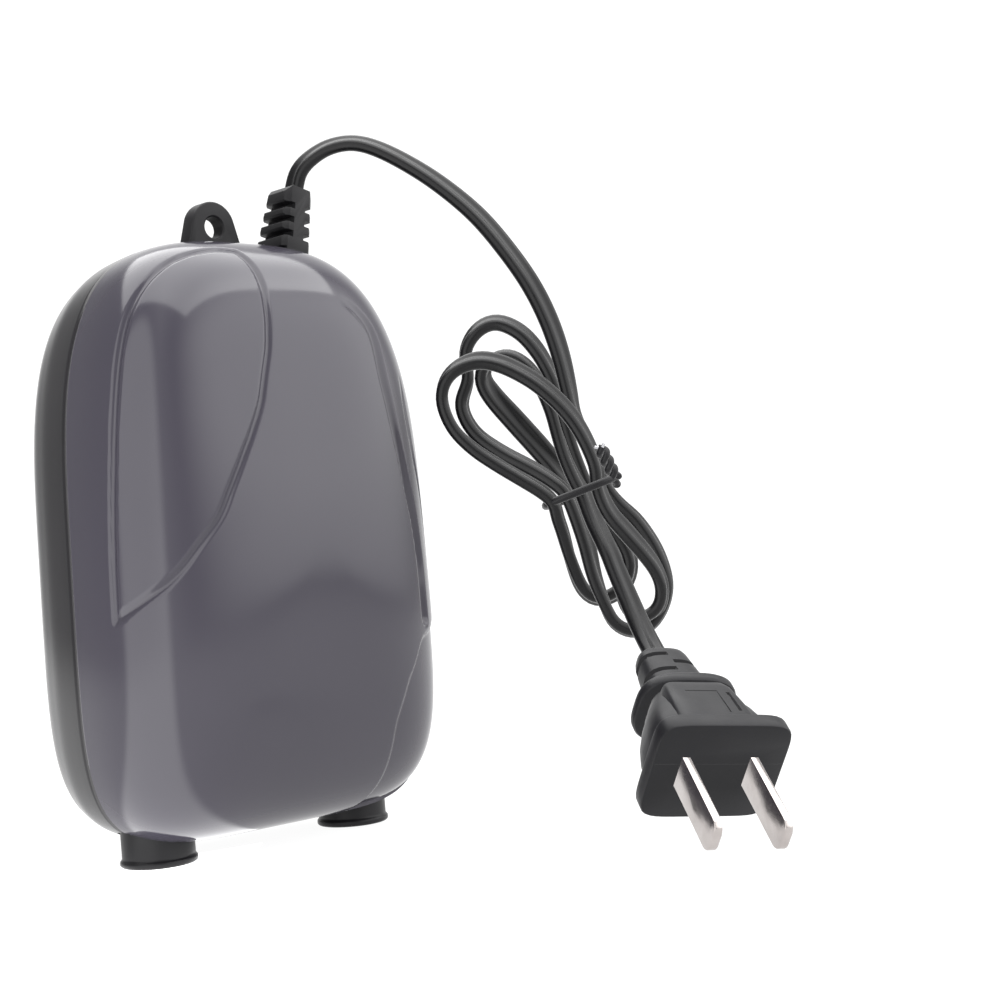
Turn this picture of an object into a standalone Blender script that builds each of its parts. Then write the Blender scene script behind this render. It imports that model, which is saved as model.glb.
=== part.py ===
"""Aquarium air pump with two outlets, a hanging lug, and a short flat lead tied in a hank.

Lengths are in millimetres, and MM turns them into Blender's metres. The pump stands upright on its two
outlet collars at Z = 0. X runs across it, the domed cover faces -Y and the rubber feet point to +Y.
The two halves of the casing meet in the plane Y = SEAM_Y.
"""

from math import cos, pi, radians, sin

import bmesh
import bpy
from mathutils import Matrix, Vector

MM = 0.001
GAP = 0.3
SIDES = (("left", -1), ("right", 1))

# Casing
HALF_WIDTH = 37.7
HALF_LENGTH = 57.3
COLLAR_REACH = 3.4
CENTRE_Z = HALF_LENGTH + COLLAR_REACH
TOP_Z = CENTRE_Z + HALF_LENGTH
COVER_DEPTH = 27.6
BASE_DEPTH = 19.5
FOOT_HEIGHT = 7.1
SEAM_Y = (COVER_DEPTH - BASE_DEPTH - FOOT_HEIGHT) / 2
WALL = 2.2
ROUND_TOP = 3.2
ROUND_BOTTOM = 5.4
TAPER = 0.035
OUTLINE_POINTS = 44
# How far round the cover's section each ring lies, in degrees from the seam, and the section's powers.
COVER_RINGS = (0, 5, 14, 26, 39, 52, 65, 77)
COVER_POWER_X = 0.74
COVER_POWER_Z = 0.72
COVER_POWER_DEPTH = 0.67
# The base's side wall: part of the depth, and how far the wall has drawn in there.
BASE_WALL = ((0, 0), (0.18, 0.2), (0.4, 0.6), (0.57, 1.3), (0.75, 2.3), (0.88, 3.6), (0.95, 5.2), (1, 9.0))
FLOOR_Y = SEAM_Y + BASE_DEPTH
FLOOR_IN_Y = FLOOR_Y - WALL

# Case screws: place in X and Z, and how deep each boss goes into the cover. Feet: place in X and Z.
CASE_SCREWS = ((-16.0, 18.3, 20.0), (16.0, 18.3, 20.0), (-17.5, 101.0, 19.3), (17.5, 101.0, 19.3))
FEET = ((-19.3, 29.9), (19.3, 29.9), (-19.3, 91.5), (19.3, 91.5))
INTAKE_Z = 32.6
INTAKE_LOBE = 2.8
INTAKE_SPREAD = 3.7

# Outlets
OUTLET_X = 23.7
COLLAR_RADIUS = 6.9
COLLAR_TOP = 12.6
NOZZLE_TOP = 20.0

# Hanging lug and cord gland
LUG_RADIUS = 5.05
LUG_HOLE = 2.15
LUG_HOLE_Z = 121.8
LUG_Y = (SEAM_Y - 0.9, SEAM_Y + 2.7)
GLAND_X = 15.7
GLAND_Z = 116.85
GLAND_Y = -1.0
GLAND_TILT = radians(14)
GLAND_HEIGHT = 13.7
GLAND_HALF = 3.5
GLAND_DEPTH = 9.8

# Vibrating drive
CORE_LOW, CORE_HIGH = 67.5, 95.5
CORE_Y = (-8.5, 6.5)
CORE_SCREW = (12.6, 91.5)
PIVOT = (11.5, 27.0)
ARM_X = (9.4, 13.6)
ARM_Y = (-6.0, 5.0)
ARM_TOP = 58.6
BELLOWS_Z = 45.0
AIR_Y = -0.5
CHAMBER_X = (24.3, 32.5)
CHAMBER_Z = (34.0, 56.0)

# Lead: a flat cord, routed in a frame of its own whose X and Z span the hank and whose Y is across it
CORD_RADIUS = 2.1
HANK_PLACE = (48.0, -48.4, 63.6)
HANK_TURN = radians(-44.3)
HANK_TILT = radians(4.6)
HANK_HALF_THICK = 5.6
LEAD_ROUTE = (
    (-58.0, 13.2, 62.6),
    (-57.2, 13.1, 65.8),
    (-54.9, 12.9, 68.5),
    (-50.8, 12.4, 70.9),
    (-45.6, 11.8, 71.6),
    (-40.0, 11.0, 69.9),
    (-32.8, 9.8, 65.9),
    (-26.4, 8.5, 61.3),
    (-20.2, 7.0, 55.7),
    (-14.6, 5.0, 48.8),
    (-9.8, 3.0, 41.6),
    (-6.3, 1.6, 34.4),
    (-3.9, 0.6, 27.2),
    (-2.3, 0.0, 20.0),
    (-1.6, 0.0, 16.4),
)
TAIL_ROUTE = (
    (5.0, -8.6, -11.2),
    (6.3, -9.8, -14.6),
    (8.5, -11.9, -20.0),
    (10.6, -15.0, -25.2),
    (12.3, -18.3, -28.9),
    (13.7, -22.8, -31.8),
)
HANK_OUTLINE = (
    (-5.5, -4.1),
    (-6.9, -0.4),
    (-11.0, 1.6),
    (-18.0, 3.5),
    (-26.0, 11.0),
    (-30.0, 19.0),
    (-29.0, 26.5),
    (-24.5, 33.0),
    (-18.0, 37.0),
    (-12.0, 35.0),
    (-8.0, 29.0),
    (-6.0, 21.5),
    (-4.6, 15.6),
    (1.6, 15.4),
    (4.4, 9.5),
    (5.5, 4.1),
    (6.9, 0.4),
    (11.6, -2.4),
    (18.0, -9.0),
    (20.6, -17.0),
    (18.8, -24.5),
    (13.5, -29.6),
    (7.0, -29.4),
    (1.0, -25.2),
    (-1.6, -17.0),
    (-3.6, -8.5),
)

# Plug: the middle of its face, the way its blades point and the way they stand apart
PLUG_PLACE = (27.0, -94.5, 13.3)
PLUG_AIM = (-0.419, -0.709, -0.567)
PLUG_ACROSS = (0.892, -0.437, -0.111)
PLUG_SECTIONS = (
    (0.0, 12.4, 9.6),
    (-1.2, 13.0, 10.2),
    (-3.4, 13.0, 10.2),
    (-4.6, 11.6, 8.8),
    (-10.0, 10.9, 8.0),
    (-16.5, 8.6, 6.2),
    (-20.0, 5.4, 4.6),
    (-21.5, 4.0, 3.4),
    (-30.5, 3.0, 2.3),
)
BLADE_SPACING = 12.7
BLADE_SIZE = (1.5, 6.35, 17.2)
BLADE_ROOT = 4.0


def fresh_collections():
    """Clears the scene and returns two collections: the pump and its cutters and joined shapes."""
    for obj in list(bpy.data.objects):
        bpy.data.objects.remove(obj)
    pump = bpy.data.collections.new("aquarium_air_pump")
    helpers = bpy.data.collections.new("helpers")
    for group in (pump, helpers):
        bpy.context.scene.collection.children.link(group)
    helpers.hide_render = True
    return pump, helpers


PUMP, HELPERS = fresh_collections()


def paint(name, colour, roughness, metallic=0.0):
    material = bpy.data.materials.new(name)
    material.use_nodes = True
    shader = material.node_tree.nodes["Principled BSDF"]
    shader.inputs["Base Color"].default_value = (*colour, 1)
    shader.inputs["Roughness"].default_value = roughness
    shader.inputs["Metallic"].default_value = metallic
    return material


GLOSS_GREY = paint("glossy_grey_plastic", (0.16, 0.15, 0.17), 0.18)
GLOSS_BLACK = paint("glossy_black_plastic", (0.05, 0.045, 0.055), 0.2)
MATT_BLACK = paint("satin_black_plastic", (0.03, 0.028, 0.032), 0.45)
RUBBER = paint("black_rubber", (0.025, 0.024, 0.026), 0.7)
CORD_PVC = paint("black_cord", (0.02, 0.02, 0.022), 0.4)
BRASS = paint("brass", (0.75, 0.55, 0.25), 0.3, 1.0)
STEEL = paint("steel", (0.5, 0.5, 0.52), 0.35, 1.0)
COPPER = paint("enamelled_copper", (0.45, 0.18, 0.06), 0.35, 1.0)
NYLON = paint("white_nylon", (0.7, 0.7, 0.66), 0.5)
FELT = paint("white_felt", (0.8, 0.8, 0.78), 0.95)


def add(name, data, colour, matrix=None):
    """Puts mesh or curve data into the scene. Without a colour it is a helper that isn't rendered."""
    obj = bpy.data.objects.new(name, data)
    if colour is None:
        HELPERS.objects.link(obj)
        obj.hide_render = True
        obj.display_type = "WIRE"
    else:
        PUMP.objects.link(obj)
        data.materials.append(colour)
    if matrix is not None:
        obj.matrix_world = matrix
    return obj


def add_bmesh(name, shape, colour, matrix=None):
    bmesh.ops.recalc_face_normals(shape, faces=shape.faces)
    mesh = bpy.data.meshes.new(name)
    shape.to_mesh(mesh)
    shape.free()
    mesh.shade_smooth()
    mesh.set_sharp_from_angle(angle=radians(35))
    return add(name, mesh, colour, matrix)


def box(name, low, high, colour=None, matrix=None, bevel=0.0):
    shape = bmesh.new()
    bmesh.ops.create_cube(shape, size=1)
    size = [(b - a) * MM for a, b in zip(low, high)]
    middle = [(a + b) / 2 * MM for a, b in zip(low, high)]
    bmesh.ops.scale(shape, vec=size, verts=shape.verts)
    bmesh.ops.translate(shape, vec=middle, verts=shape.verts)
    obj = add_bmesh(name, shape, colour, matrix)
    if bevel:
        rounding = obj.modifiers.new("rounding", "BEVEL")
        rounding.width = bevel * MM
        rounding.segments = 2
    return obj


def cylinder(name, start, end, radius, colour=None, segments=16, matrix=None):
    run = Vector(end) - Vector(start)
    middle = (Vector(start) + Vector(end)) / 2
    turn = run.to_track_quat("Z", "Y").to_matrix().to_4x4()
    shape = bmesh.new()
    bmesh.ops.create_cone(
        shape,
        cap_ends=True,
        segments=segments,
        radius1=radius * MM,
        radius2=radius * MM,
        depth=run.length * MM,
        matrix=Matrix.Translation(middle * MM) @ turn,
    )
    return add_bmesh(name, shape, colour, matrix)


def turned(name, profile, place, toward, colour=None, steps=20, ring=False):
    """Turns (radius, height) points round the axis that leaves place toward a direction.

    The profile runs down its outer side. A ring's profile comes back up its bore and closes on itself.
    """
    mesh = bpy.data.meshes.new(name)
    edges = [(i, i + 1) for i in range(len(profile) - 1)]
    if ring:
        edges.append((len(profile) - 1, 0))
    mesh.from_pydata([(r * MM, 0, h * MM) for r, h in profile], edges, [])
    turn = Vector(toward).to_track_quat("Z", "Y").to_matrix().to_4x4()
    obj = add(name, mesh, colour, Matrix.Translation(Vector(place) * MM) @ turn)
    screw = obj.modifiers.new("turning", "SCREW")
    screw.steps = screw.render_steps = steps
    screw.use_merge_vertices = True
    screw.merge_threshold = 0.00001
    return obj


def as_mesh(obj):
    """Makes a curve object a mesh object, with its caps welded to its sides."""
    bpy.context.view_layer.update()
    evaluated = obj.evaluated_get(bpy.context.evaluated_depsgraph_get())
    mesh = bpy.data.meshes.new_from_object(evaluated)
    shape = bmesh.new()
    shape.from_mesh(mesh)
    bmesh.ops.remove_doubles(shape, verts=shape.verts, dist=0.00001)
    bmesh.ops.recalc_face_normals(shape, faces=shape.faces)
    shape.to_mesh(mesh)
    shape.free()
    name, matrix = obj.name, obj.matrix_world.copy()
    solid = bpy.data.objects.new(name + "_solid", mesh)
    for group in obj.users_collection:
        group.objects.link(solid)
    solid.hide_render = obj.hide_render
    solid.display_type = obj.display_type
    solid.matrix_world = matrix
    bpy.data.objects.remove(obj)
    solid.name = name
    return solid


def plate(name, outlines, thickness, matrix, colour=None):
    """A flat outline, with any further outlines as its holes, given thickness about its plane."""
    data = bpy.data.curves.new(name, "CURVE")
    data.dimensions = "2D"
    data.fill_mode = "BOTH"
    data.extrude = thickness / 2 * MM
    for outline in outlines:
        spline = data.splines.new("POLY")
        spline.points.add(len(outline) - 1)
        for point, (x, y) in zip(spline.points, outline):
            point.co = (x * MM, y * MM, 0, 1)
        spline.use_cyclic_u = True
    return as_mesh(add(name, data, colour, matrix))


def upright(y):
    """The plane at this Y, whose own x and y run along X and Z."""
    return Matrix.Translation((0, y * MM, 0)) @ Matrix.Rotation(radians(90), 4, "X")


def arc(cx, cy, radius, start, end, count):
    """Points on an arc, from one angle in degrees to another."""
    angles = [radians(start + (end - start) * i / count) for i in range(count + 1)]
    return [(cx + radius * cos(a), cy + radius * sin(a)) for a in angles]


def smooth_points(route, spacing, closed=False):
    """Points about a spacing apart on the smooth curve (Catmull-Rom) through a route's points."""
    knots = [Vector(p) for p in route]
    count = len(knots)
    if closed:
        spans = [[knots[(i + k) % count] for k in (-1, 0, 1, 2)] for i in range(count)]
    else:
        knots = [2 * knots[0] - knots[1], *knots, 2 * knots[-1] - knots[-2]]
        spans = [knots[i : i + 4] for i in range(count - 1)]
    points = []
    for a, b, c, d in spans:
        pieces = max(1, round((c - b).length / spacing))
        for i in range(pieces):
            t = i / pieces
            bend = (2 * a - 5 * b + 4 * c - d) * t**2 + (3 * b - a - 3 * c + d) * t**3
            points.append(b + ((c - a) * t + bend) / 2)
    return points if closed else [*points, knots[-2]]


def tube(name, points, radius, colour, matrix=None, wall=0.0):
    """A round cord or wire along points or, with a wall, a hose that is open at both ends."""
    data = bpy.data.curves.new(name, "CURVE")
    data.dimensions = "3D"
    data.bevel_depth = radius * MM
    data.bevel_resolution = 2
    data.use_fill_caps = not wall
    spline = data.splines.new("POLY")
    spline.points.add(len(points) - 1)
    for point, place in zip(spline.points, points):
        point.co = (*(Vector(place) * MM), 1)
    obj = add(name, data, colour, matrix)
    if wall:
        skin = obj.modifiers.new("wall", "SOLIDIFY")
        skin.thickness = wall * MM
        skin.offset = -1
    return obj


def boolean(target, tool, operation):
    change = target.modifiers.new(f"{operation.lower()} {tool.name}", "BOOLEAN")
    change.operation = operation
    change.object = tool
    return target


def cut(target, *tools):
    for tool in tools:
        boolean(target, tool, "DIFFERENCE")
    return target


def join(target, *tools):
    for tool in tools:
        boolean(target, tool, "UNION")
    return target


def outline_ring(half_width, half_length, y):
    """The body's outline at one depth: a squarer lower end, a rounder upper end and a slight taper."""
    points = []
    for i in range(OUTLINE_POINTS):
        angle = 2 * pi * i / OUTLINE_POINTS
        across, along = cos(angle), sin(angle)
        power = ROUND_TOP if along > 0 else ROUND_BOTTOM
        reach = (abs(across) ** power + abs(along) ** power) ** (-1 / power)
        x = half_width * reach * across * (1 - TAPER * reach * along)
        points.append((x * MM, y * MM, (CENTRE_Z + half_length * reach * along) * MM))
    return points


def bowl(name, outer, inner, colour):
    """A shell between two stacks of rings, each running from the open rim to a flat end."""
    shape = bmesh.new()
    rims = []
    for rings in (outer, inner):
        loops = [[shape.verts.new(p) for p in ring] for ring in rings]
        for near, far in zip(loops, loops[1:]):
            skin_between(shape, near, far)
        shape.faces.new(loops[-1])
        rims.append(loops[0])
    skin_between(shape, *rims)
    return add_bmesh(name, shape, colour)


def skin_between(shape, near, far):
    for i in range(len(near)):
        j = (i + 1) % len(near)
        shape.faces.new((near[i], near[j], far[j], far[i]))


def cover_rings(inset):
    rings = []
    for degrees in COVER_RINGS:
        turn = radians(degrees)
        width = (HALF_WIDTH - inset) * cos(turn) ** COVER_POWER_X
        length = (HALF_LENGTH - inset) * cos(turn) ** COVER_POWER_Z
        depth = (COVER_DEPTH - inset) * sin(turn) ** COVER_POWER_DEPTH
        rings.append(outline_ring(width, length, SEAM_Y - GAP / 2 - depth))
    return rings


def base_rings(inset):
    rings = []
    for part, drawn_in in BASE_WALL:
        y = SEAM_Y + GAP / 2 + (BASE_DEPTH - GAP / 2 - inset) * part
        rings.append(outline_ring(HALF_WIDTH - inset - drawn_in, HALF_LENGTH - inset - drawn_in, y))
    return rings


def top_cover():
    shell = bowl("top_cover", cover_rings(0), cover_rings(WALL), GLOSS_GREY)
    for i, (x, z, deep) in enumerate(CASE_SCREWS, 1):
        boss = cylinder(f"cover_boss_{i}", (x, SEAM_Y - GAP / 2, z), (x, SEAM_Y - deep, z), 3.6)
        pilot = cylinder(f"cover_pilot_{i}", (x, SEAM_Y + 1, z), (x, SEAM_Y - 13, z), 1.6)
        cut(join(shell, boss), pilot)
    return shell


def base_shell():
    shell = bowl("base_shell", base_rings(0), base_rings(WALL), GLOSS_BLACK)
    inside = FLOOR_IN_Y + 1
    for i, (x, z, _) in enumerate(CASE_SCREWS, 1):
        join(shell, cylinder(f"base_boss_{i}", (x, SEAM_Y + GAP / 2, z), (x, inside, z), 4.0))
        profile = ((0, 30), (3.0, 30), (3.0, 7.0), (1.7, 7.0), (1.7, -5), (0, -5))
        cut(shell, turned(f"screw_recess_{i}", profile, (x, SEAM_Y, z), (0, 1, 0)))
    for side, sign in SIDES:
        core_x, core_z = CORE_SCREW
        pin_x, pin_z = PIVOT
        core_post = ("core", core_x, core_z, CORE_Y[1] + 0.4, 1.5)
        pivot_post = ("pivot", pin_x, pin_z, ARM_Y[1] + 0.6, 1.9)
        for kind, x, z, face, bore in (core_post, pivot_post):
            join(shell, cylinder(f"{kind}_post_{side}", (sign * x, face, z), (sign * x, inside, z), 3.0))
            hole = cylinder(f"{kind}_hole_{side}", (sign * x, face - 1, z), (sign * x, face + 8, z), bore)
            cut(shell, hole)
    for i, (x, z) in enumerate(FEET, 1):
        cut(shell, cylinder(f"foot_hole_{i}", (x, FLOOR_IN_Y - 2, z), (x, FLOOR_Y + 2, z), 1.9))
    lobes = []
    for i, (dx, dz) in enumerate(((-1, 0), (1, 0), (0, -1), (0, 1)), 1):
        x, z = dx * INTAKE_SPREAD, INTAKE_Z + dz * INTAKE_SPREAD
        lobes.append(cylinder(f"intake_lobe_{i}", (x, FLOOR_IN_Y - 2, z), (x, FLOOR_Y + 2, z), INTAKE_LOBE))
    lobes.append(box("intake_middle", (-3, FLOOR_IN_Y - 2, INTAKE_Z - 3), (3, FLOOR_Y + 2, INTAKE_Z + 3)))
    cut(shell, *lobes)
    return shell


def open_the_seam(*shells):
    """Cuts the holes that both halves of the casing share: the outlets, the lug's slot and the gland's."""
    tools = []
    for side, sign in SIDES:
        x = sign * OUTLET_X
        ends = ((x, SEAM_Y, -5), (x, SEAM_Y, 14))
        tools.append(cylinder(f"outlet_hole_{side}", *ends, COLLAR_RADIUS + 0.4, segments=24))
    tools.append(box("lug_slot", (-5.7, LUG_Y[0] - GAP, TOP_Z - 4), (5.7, LUG_Y[1] + GAP, TOP_Z + 2)))
    half_y = GLAND_DEPTH / 2 + GAP
    tools.append(box("gland_slot", (-2.9, -half_y, -6), (2.9, half_y, 2), matrix=gland_frame()))
    for shell in shells:
        cut(shell, *tools)


def gland_frame():
    place = Vector((GLAND_X, GLAND_Y, GLAND_Z)) * MM
    return Matrix.Translation(place) @ Matrix.Rotation(GLAND_TILT, 4, "Y")


def hanging_lug():
    crown = arc(0, TOP_Z + 8.95 - LUG_RADIUS, LUG_RADIUS, 12, 168, 12)
    right = [(5.4, TOP_Z - 3.0), (5.4, TOP_Z + GAP), (6.3, TOP_Z + GAP)]
    flange = [(-7.5, TOP_Z - 3.0), (-7.5, TOP_Z - 5.2), (7.5, TOP_Z - 5.2), (7.5, TOP_Z - 3.0)]
    left = [(-x, z) for x, z in reversed(right)]
    hole = arc(0, LUG_HOLE_Z, LUG_HOLE, 345, 0, 23)
    outline = right + crown + left + flange
    return plate("hanging_lug", (outline, hole), LUG_Y[1] - LUG_Y[0], upright(sum(LUG_Y) / 2), RUBBER)


def gland_outline():
    """Half of the gland's comb, from its inner flange up to its top: four fins with three slots between."""
    web, fin, slot, pitch, first = 1.25, GLAND_HALF, 1.3, 3.0, 2.8
    side = [(fin, -5.9), (fin, -3.7), (2.6, -3.7), (2.6, 0.6), (fin, 0.6)]
    for i in range(3):
        low = first + pitch * i
        high = low + slot
        side += [(fin, low - 0.3), (fin - 0.5, low), (web, low)]
        side += [(web, high), (fin - 0.5, high), (fin, high + 0.3)]
    return side + [(fin, GLAND_HEIGHT - 1.6), (fin - 1.4, GLAND_HEIGHT)]


def cord_gland():
    right = gland_outline()
    left = [(-x, z) for x, z in reversed(right)]
    frame = gland_frame() @ Matrix.Rotation(radians(90), 4, "X")
    return plate("cord_gland", (right + left,), GLAND_DEPTH, frame, RUBBER)


def rubber_feet():
    profile = (
        (0, FOOT_HEIGHT),
        (1.0, FOOT_HEIGHT),
        (3.05, 4.7),
        (3.05, 4.2),
        (2.6, 3.8),
        (2.6, GAP),
        (1.55, GAP),
        (1.55, -WALL - GAP),
        (2.8, -WALL - GAP),
        (2.2, -WALL - 3.4),
        (0, -WALL - 3.4),
    )
    for i, (x, z) in enumerate(FEET, 1):
        turned(f"rubber_foot_{i}", profile, (x, FLOOR_Y, z), (0, 1, 0), RUBBER, steps=16)


def case_screws():
    profile = ((0, 9.2), (1.0, 9.2), (2.2, 8.6), (2.6, 7.3), (1.3, 7.3), (1.3, -11.0), (0, -12.4))
    for i, (x, z, _) in enumerate(CASE_SCREWS, 1):
        screw = turned(f"case_screw_{i}", profile, (x, SEAM_Y, z), (0, 1, 0), STEEL, steps=16)
        for arm, turn in enumerate((0, 90), 1):
            head = Matrix.Translation(Vector((x, SEAM_Y + 9.2, z)) * MM)
            place = head @ Matrix.Rotation(radians(turn), 4, "Y")
            cut(screw, box(f"cross_recess_{i}_{arm}", (-1.3, -0.9, -0.3), (1.3, 1, 0.3), matrix=place))


def outlets():
    collar = (
        (COLLAR_RADIUS, COLLAR_TOP),
        (COLLAR_RADIUS, 1.4),
        (COLLAR_RADIUS + 0.4, 1.0),
        (COLLAR_RADIUS + 0.4, 0.4),
        (COLLAR_RADIUS, 0),
        (5.4, 0),
        (5.4, 8.8),
        (2.6, 8.8),
        (2.6, COLLAR_TOP),
    )
    nozzle = (
        (1.9, NOZZLE_TOP),
        (2.4, 18.4),
        (2.1, 18.2),
        (2.1, 14.3),
        (3.7, 14.3),
        (3.7, COLLAR_TOP + GAP),
        (2.2, COLLAR_TOP + GAP),
        (2.2, 4.6),
        (2.5, 4.4),
        (2.0, 1.8),
        (1.2, 1.8),
        (1.2, NOZZLE_TOP),
    )
    for side, sign in SIDES:
        place = (sign * OUTLET_X, SEAM_Y, 0)
        turned(f"outlet_collar_{side}", collar, place, (0, 0, 1), MATT_BLACK, steps=24, ring=True)
        turned(f"outlet_nozzle_{side}", nozzle, place, (0, 0, 1), NYLON, steps=16, ring=True)


def intake_filter():
    low = (-8.2, FLOOR_IN_Y - 3.6, INTAKE_Z - 8)
    return box("intake_filter", low, (8.2, FLOOR_IN_Y - GAP, INTAKE_Z + 8), FELT)


def core():
    """The E-shaped laminations, legs pointing down at the arms, with the coil on the middle leg."""
    leg, outer_in, outer_out, yoke = 5.0, 13.2, 19.8, CORE_HIGH - 7.8
    right = [(leg, CORE_LOW), (leg, yoke), (outer_in, yoke), (outer_in, CORE_LOW)]
    right += [(outer_out, CORE_LOW), (outer_out, CORE_HIGH)]
    left = [(-x, z) for x, z in reversed(right)]
    holes = [arc(sign * CORE_SCREW[0], CORE_SCREW[1], 1.7, 337.5, 0, 15) for _, sign in SIDES]
    middle = sum(CORE_Y) / 2
    plate("core_laminations", (right + left, *holes), CORE_Y[1] - CORE_Y[0], upright(middle), STEEL)
    tube_z = (CORE_LOW + 2.0, yoke - 0.6)
    near, far = CORE_Y[0] - 1.3, CORE_Y[1] + 1.3
    bobbin = box("coil_bobbin", (-6.3, near, tube_z[0]), (6.3, far, tube_z[1]), NYLON)
    for end, z in (("low", tube_z[0]), ("high", tube_z[1] - 1.2)):
        join(bobbin, box(f"bobbin_flange_{end}", (-12.8, near - 6, z), (12.8, far + 6, z + 1.2)))
    cut(bobbin, box("bobbin_bore", (-leg - GAP, CORE_Y[0] - GAP, 0), (leg + GAP, CORE_Y[1] + GAP, 120)))
    winding_z = (tube_z[0] + 1.5, tube_z[1] - 1.5)
    low, high = (-12.2, near - 5.4, winding_z[0]), (12.2, far + 5.4, winding_z[1])
    winding = box("coil_winding", low, high, COPPER)
    cut(winding, box("winding_bore", (-6.6, near - GAP, 0), (6.6, far + GAP, 120)))
    reach = CORE_Y[0] - CORE_Y[1] - 6
    screw = ((0, 2.2), (1.4, 2.2), (2.9, 1.4), (2.9, 0), (1.3, 0), (1.3, reach), (0, reach - 1))
    for side, sign in SIDES:
        x, z = CORE_SCREW
        turned(f"core_screw_{side}", screw, (sign * x, CORE_Y[0] - GAP, z), (0, -1, 0), STEEL, steps=16)


def swing_arms():
    """Each arm hangs on a pin through its foot, carries a magnet on its head, and pushes a bellows."""
    reach = ARM_Y[0] - ARM_Y[1] - 6
    pin = ((0, 1.4), (2.4, 1.4), (2.6, 0), (1.5, 0), (1.5, reach), (0, reach))
    x0, x1 = ARM_X
    pin_x, pin_z = PIVOT
    for side, sign in SIDES:
        foot = arc(pin_x, pin_z, 3.6, 200, 340, 10)
        under = ARM_TOP - 2.2
        head = [(x1, under), (x1 + 0.6, under), (x1 + 0.6, ARM_TOP)]
        head += [(4.6, ARM_TOP), (4.6, under), (x0, under)]
        body = [(sign * x, z) for x, z in [*foot, (x1, pin_z + 6), *head, (x0, pin_z + 6)]]
        hole = [(sign * x, z) for x, z in arc(pin_x, pin_z, 1.8, 337.5, 0, 15)]
        middle = sum(ARM_Y) / 2
        plate(f"swing_arm_{side}", (body, hole), ARM_Y[1] - ARM_Y[0], upright(middle), NYLON)
        ends = sorted((sign * 5.0, sign * 13.8))
        low, high = (ends[0], -7.0, ARM_TOP + GAP), (ends[1], 6.0, ARM_TOP + 7.2)
        box(f"arm_magnet_{side}", low, high, STEEL, bevel=0.5)
        turned(f"pivot_pin_{side}", pin, (sign * pin_x, ARM_Y[0] - GAP, pin_z), (0, -1, 0), STEEL, steps=16)


def pumping_sides():
    """A bellows between each arm and its air chamber, with the valves and the hose down to the nozzle."""
    bellows = [(8.4, 8.6), (8.4, 7.4), (6.4, 6.6), (8.6, 5.3), (6.4, 4.0), (8.6, 2.7), (6.4, 1.6), (6.4, 0)]
    inside = [(r - 1.2, h) for r, h in reversed(bellows)]
    x0, x1 = CHAMBER_X
    z0, z1 = CHAMBER_Z
    port_z = BELLOWS_Z - 4
    for side, sign in SIDES:
        out = (sign, 0, 0)
        start = (sign * (ARM_X[1] + 1.8), AIR_Y, BELLOWS_Z)
        turned(f"bellows_{side}", bellows + inside, start, out, RUBBER, ring=True)
        disc = ((0, 1.2), (5.8, 1.2), (5.8, 0), (0, 0))
        turned(f"bellows_disc_{side}", disc, (sign * (ARM_X[1] + GAP), AIR_Y, BELLOWS_Z), out, NYLON)

        def block(name, low, high, colour=None, bevel=0.0):
            xs = sorted((sign * low[0], sign * high[0]))
            return box(f"{name}_{side}", (xs[0], *low[1:]), (xs[1], *high[1:]), colour, bevel=bevel)

        def bore(name, start, end, radius):
            first, last = (sign * start[0], *start[1:]), (sign * end[0], *end[1:])
            return cylinder(f"{name}_{side}", first, last, radius)

        chamber = block("air_chamber", (x0, AIR_Y - 9, z0), (x1, AIR_Y + 9, z1), NYLON)
        join(chamber, bore("spigot", (x1 - 1.9, AIR_Y, z0 + 1), (x1 - 1.9, AIR_Y, z0 - 3.4), 2.3))
        cut(
            chamber,
            bore("pump_space", (x0 - 1, AIR_Y, BELLOWS_Z), (x0 + 2.5, AIR_Y, BELLOWS_Z), 7.0),
            block("outlet_pocket", (x1 - 2.3, AIR_Y - 4, BELLOWS_Z), (x1 + 1, AIR_Y + 4, BELLOWS_Z + 8)),
            bore("outlet_port", (x0 + 1, AIR_Y, BELLOWS_Z + 4), (x1 - 1, AIR_Y, BELLOWS_Z + 4), 1.4),
            bore("spigot_bore", (x1 - 1.9, AIR_Y, z0 - 6), (x1 - 1.9, AIR_Y, BELLOWS_Z + 2), 1.2),
            bore("inlet_port", (x0 + 1, AIR_Y, port_z), (x0 + 3.6, AIR_Y, port_z), 1.4),
            bore("inlet_channel", (x0 + 3.6, AIR_Y, port_z), (x0 + 3.6, AIR_Y - 12, port_z), 1.1),
        )
        low, high = (x1 + GAP, AIR_Y - 6, BELLOWS_Z - 3), (x1 + 1.7, AIR_Y + 6, BELLOWS_Z + 10)
        block("valve_cover", low, high, NYLON, bevel=0.4)
        low, high = (x0 + 1.7, AIR_Y - 2, BELLOWS_Z - 6), (x0 + 2.2, AIR_Y + 2, BELLOWS_Z - 1.6)
        block("inlet_flap", low, high, RUBBER)
        low, high = (x1 - 2.0, AIR_Y - 2, BELLOWS_Z + 1.8), (x1 - 1.5, AIR_Y + 2, BELLOWS_Z + 6.4)
        block("outlet_flap", low, high, RUBBER)
        low_end = [(OUTLET_X, SEAM_Y, z) for z in (14.9, 17.5, 19.6)]
        high_end = [(x1 - 1.9, AIR_Y, z0 - down) for down in (5.6, 3.0, 0.5)]
        route = [*low_end, (OUTLET_X + 3.4, 0, 24.2), *high_end]
        points = smooth_points([(sign * x, y, z) for x, y, z in route], 3)
        tube(f"air_hose_{side}", points, 3.5, RUBBER, wall=0.8)


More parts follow.
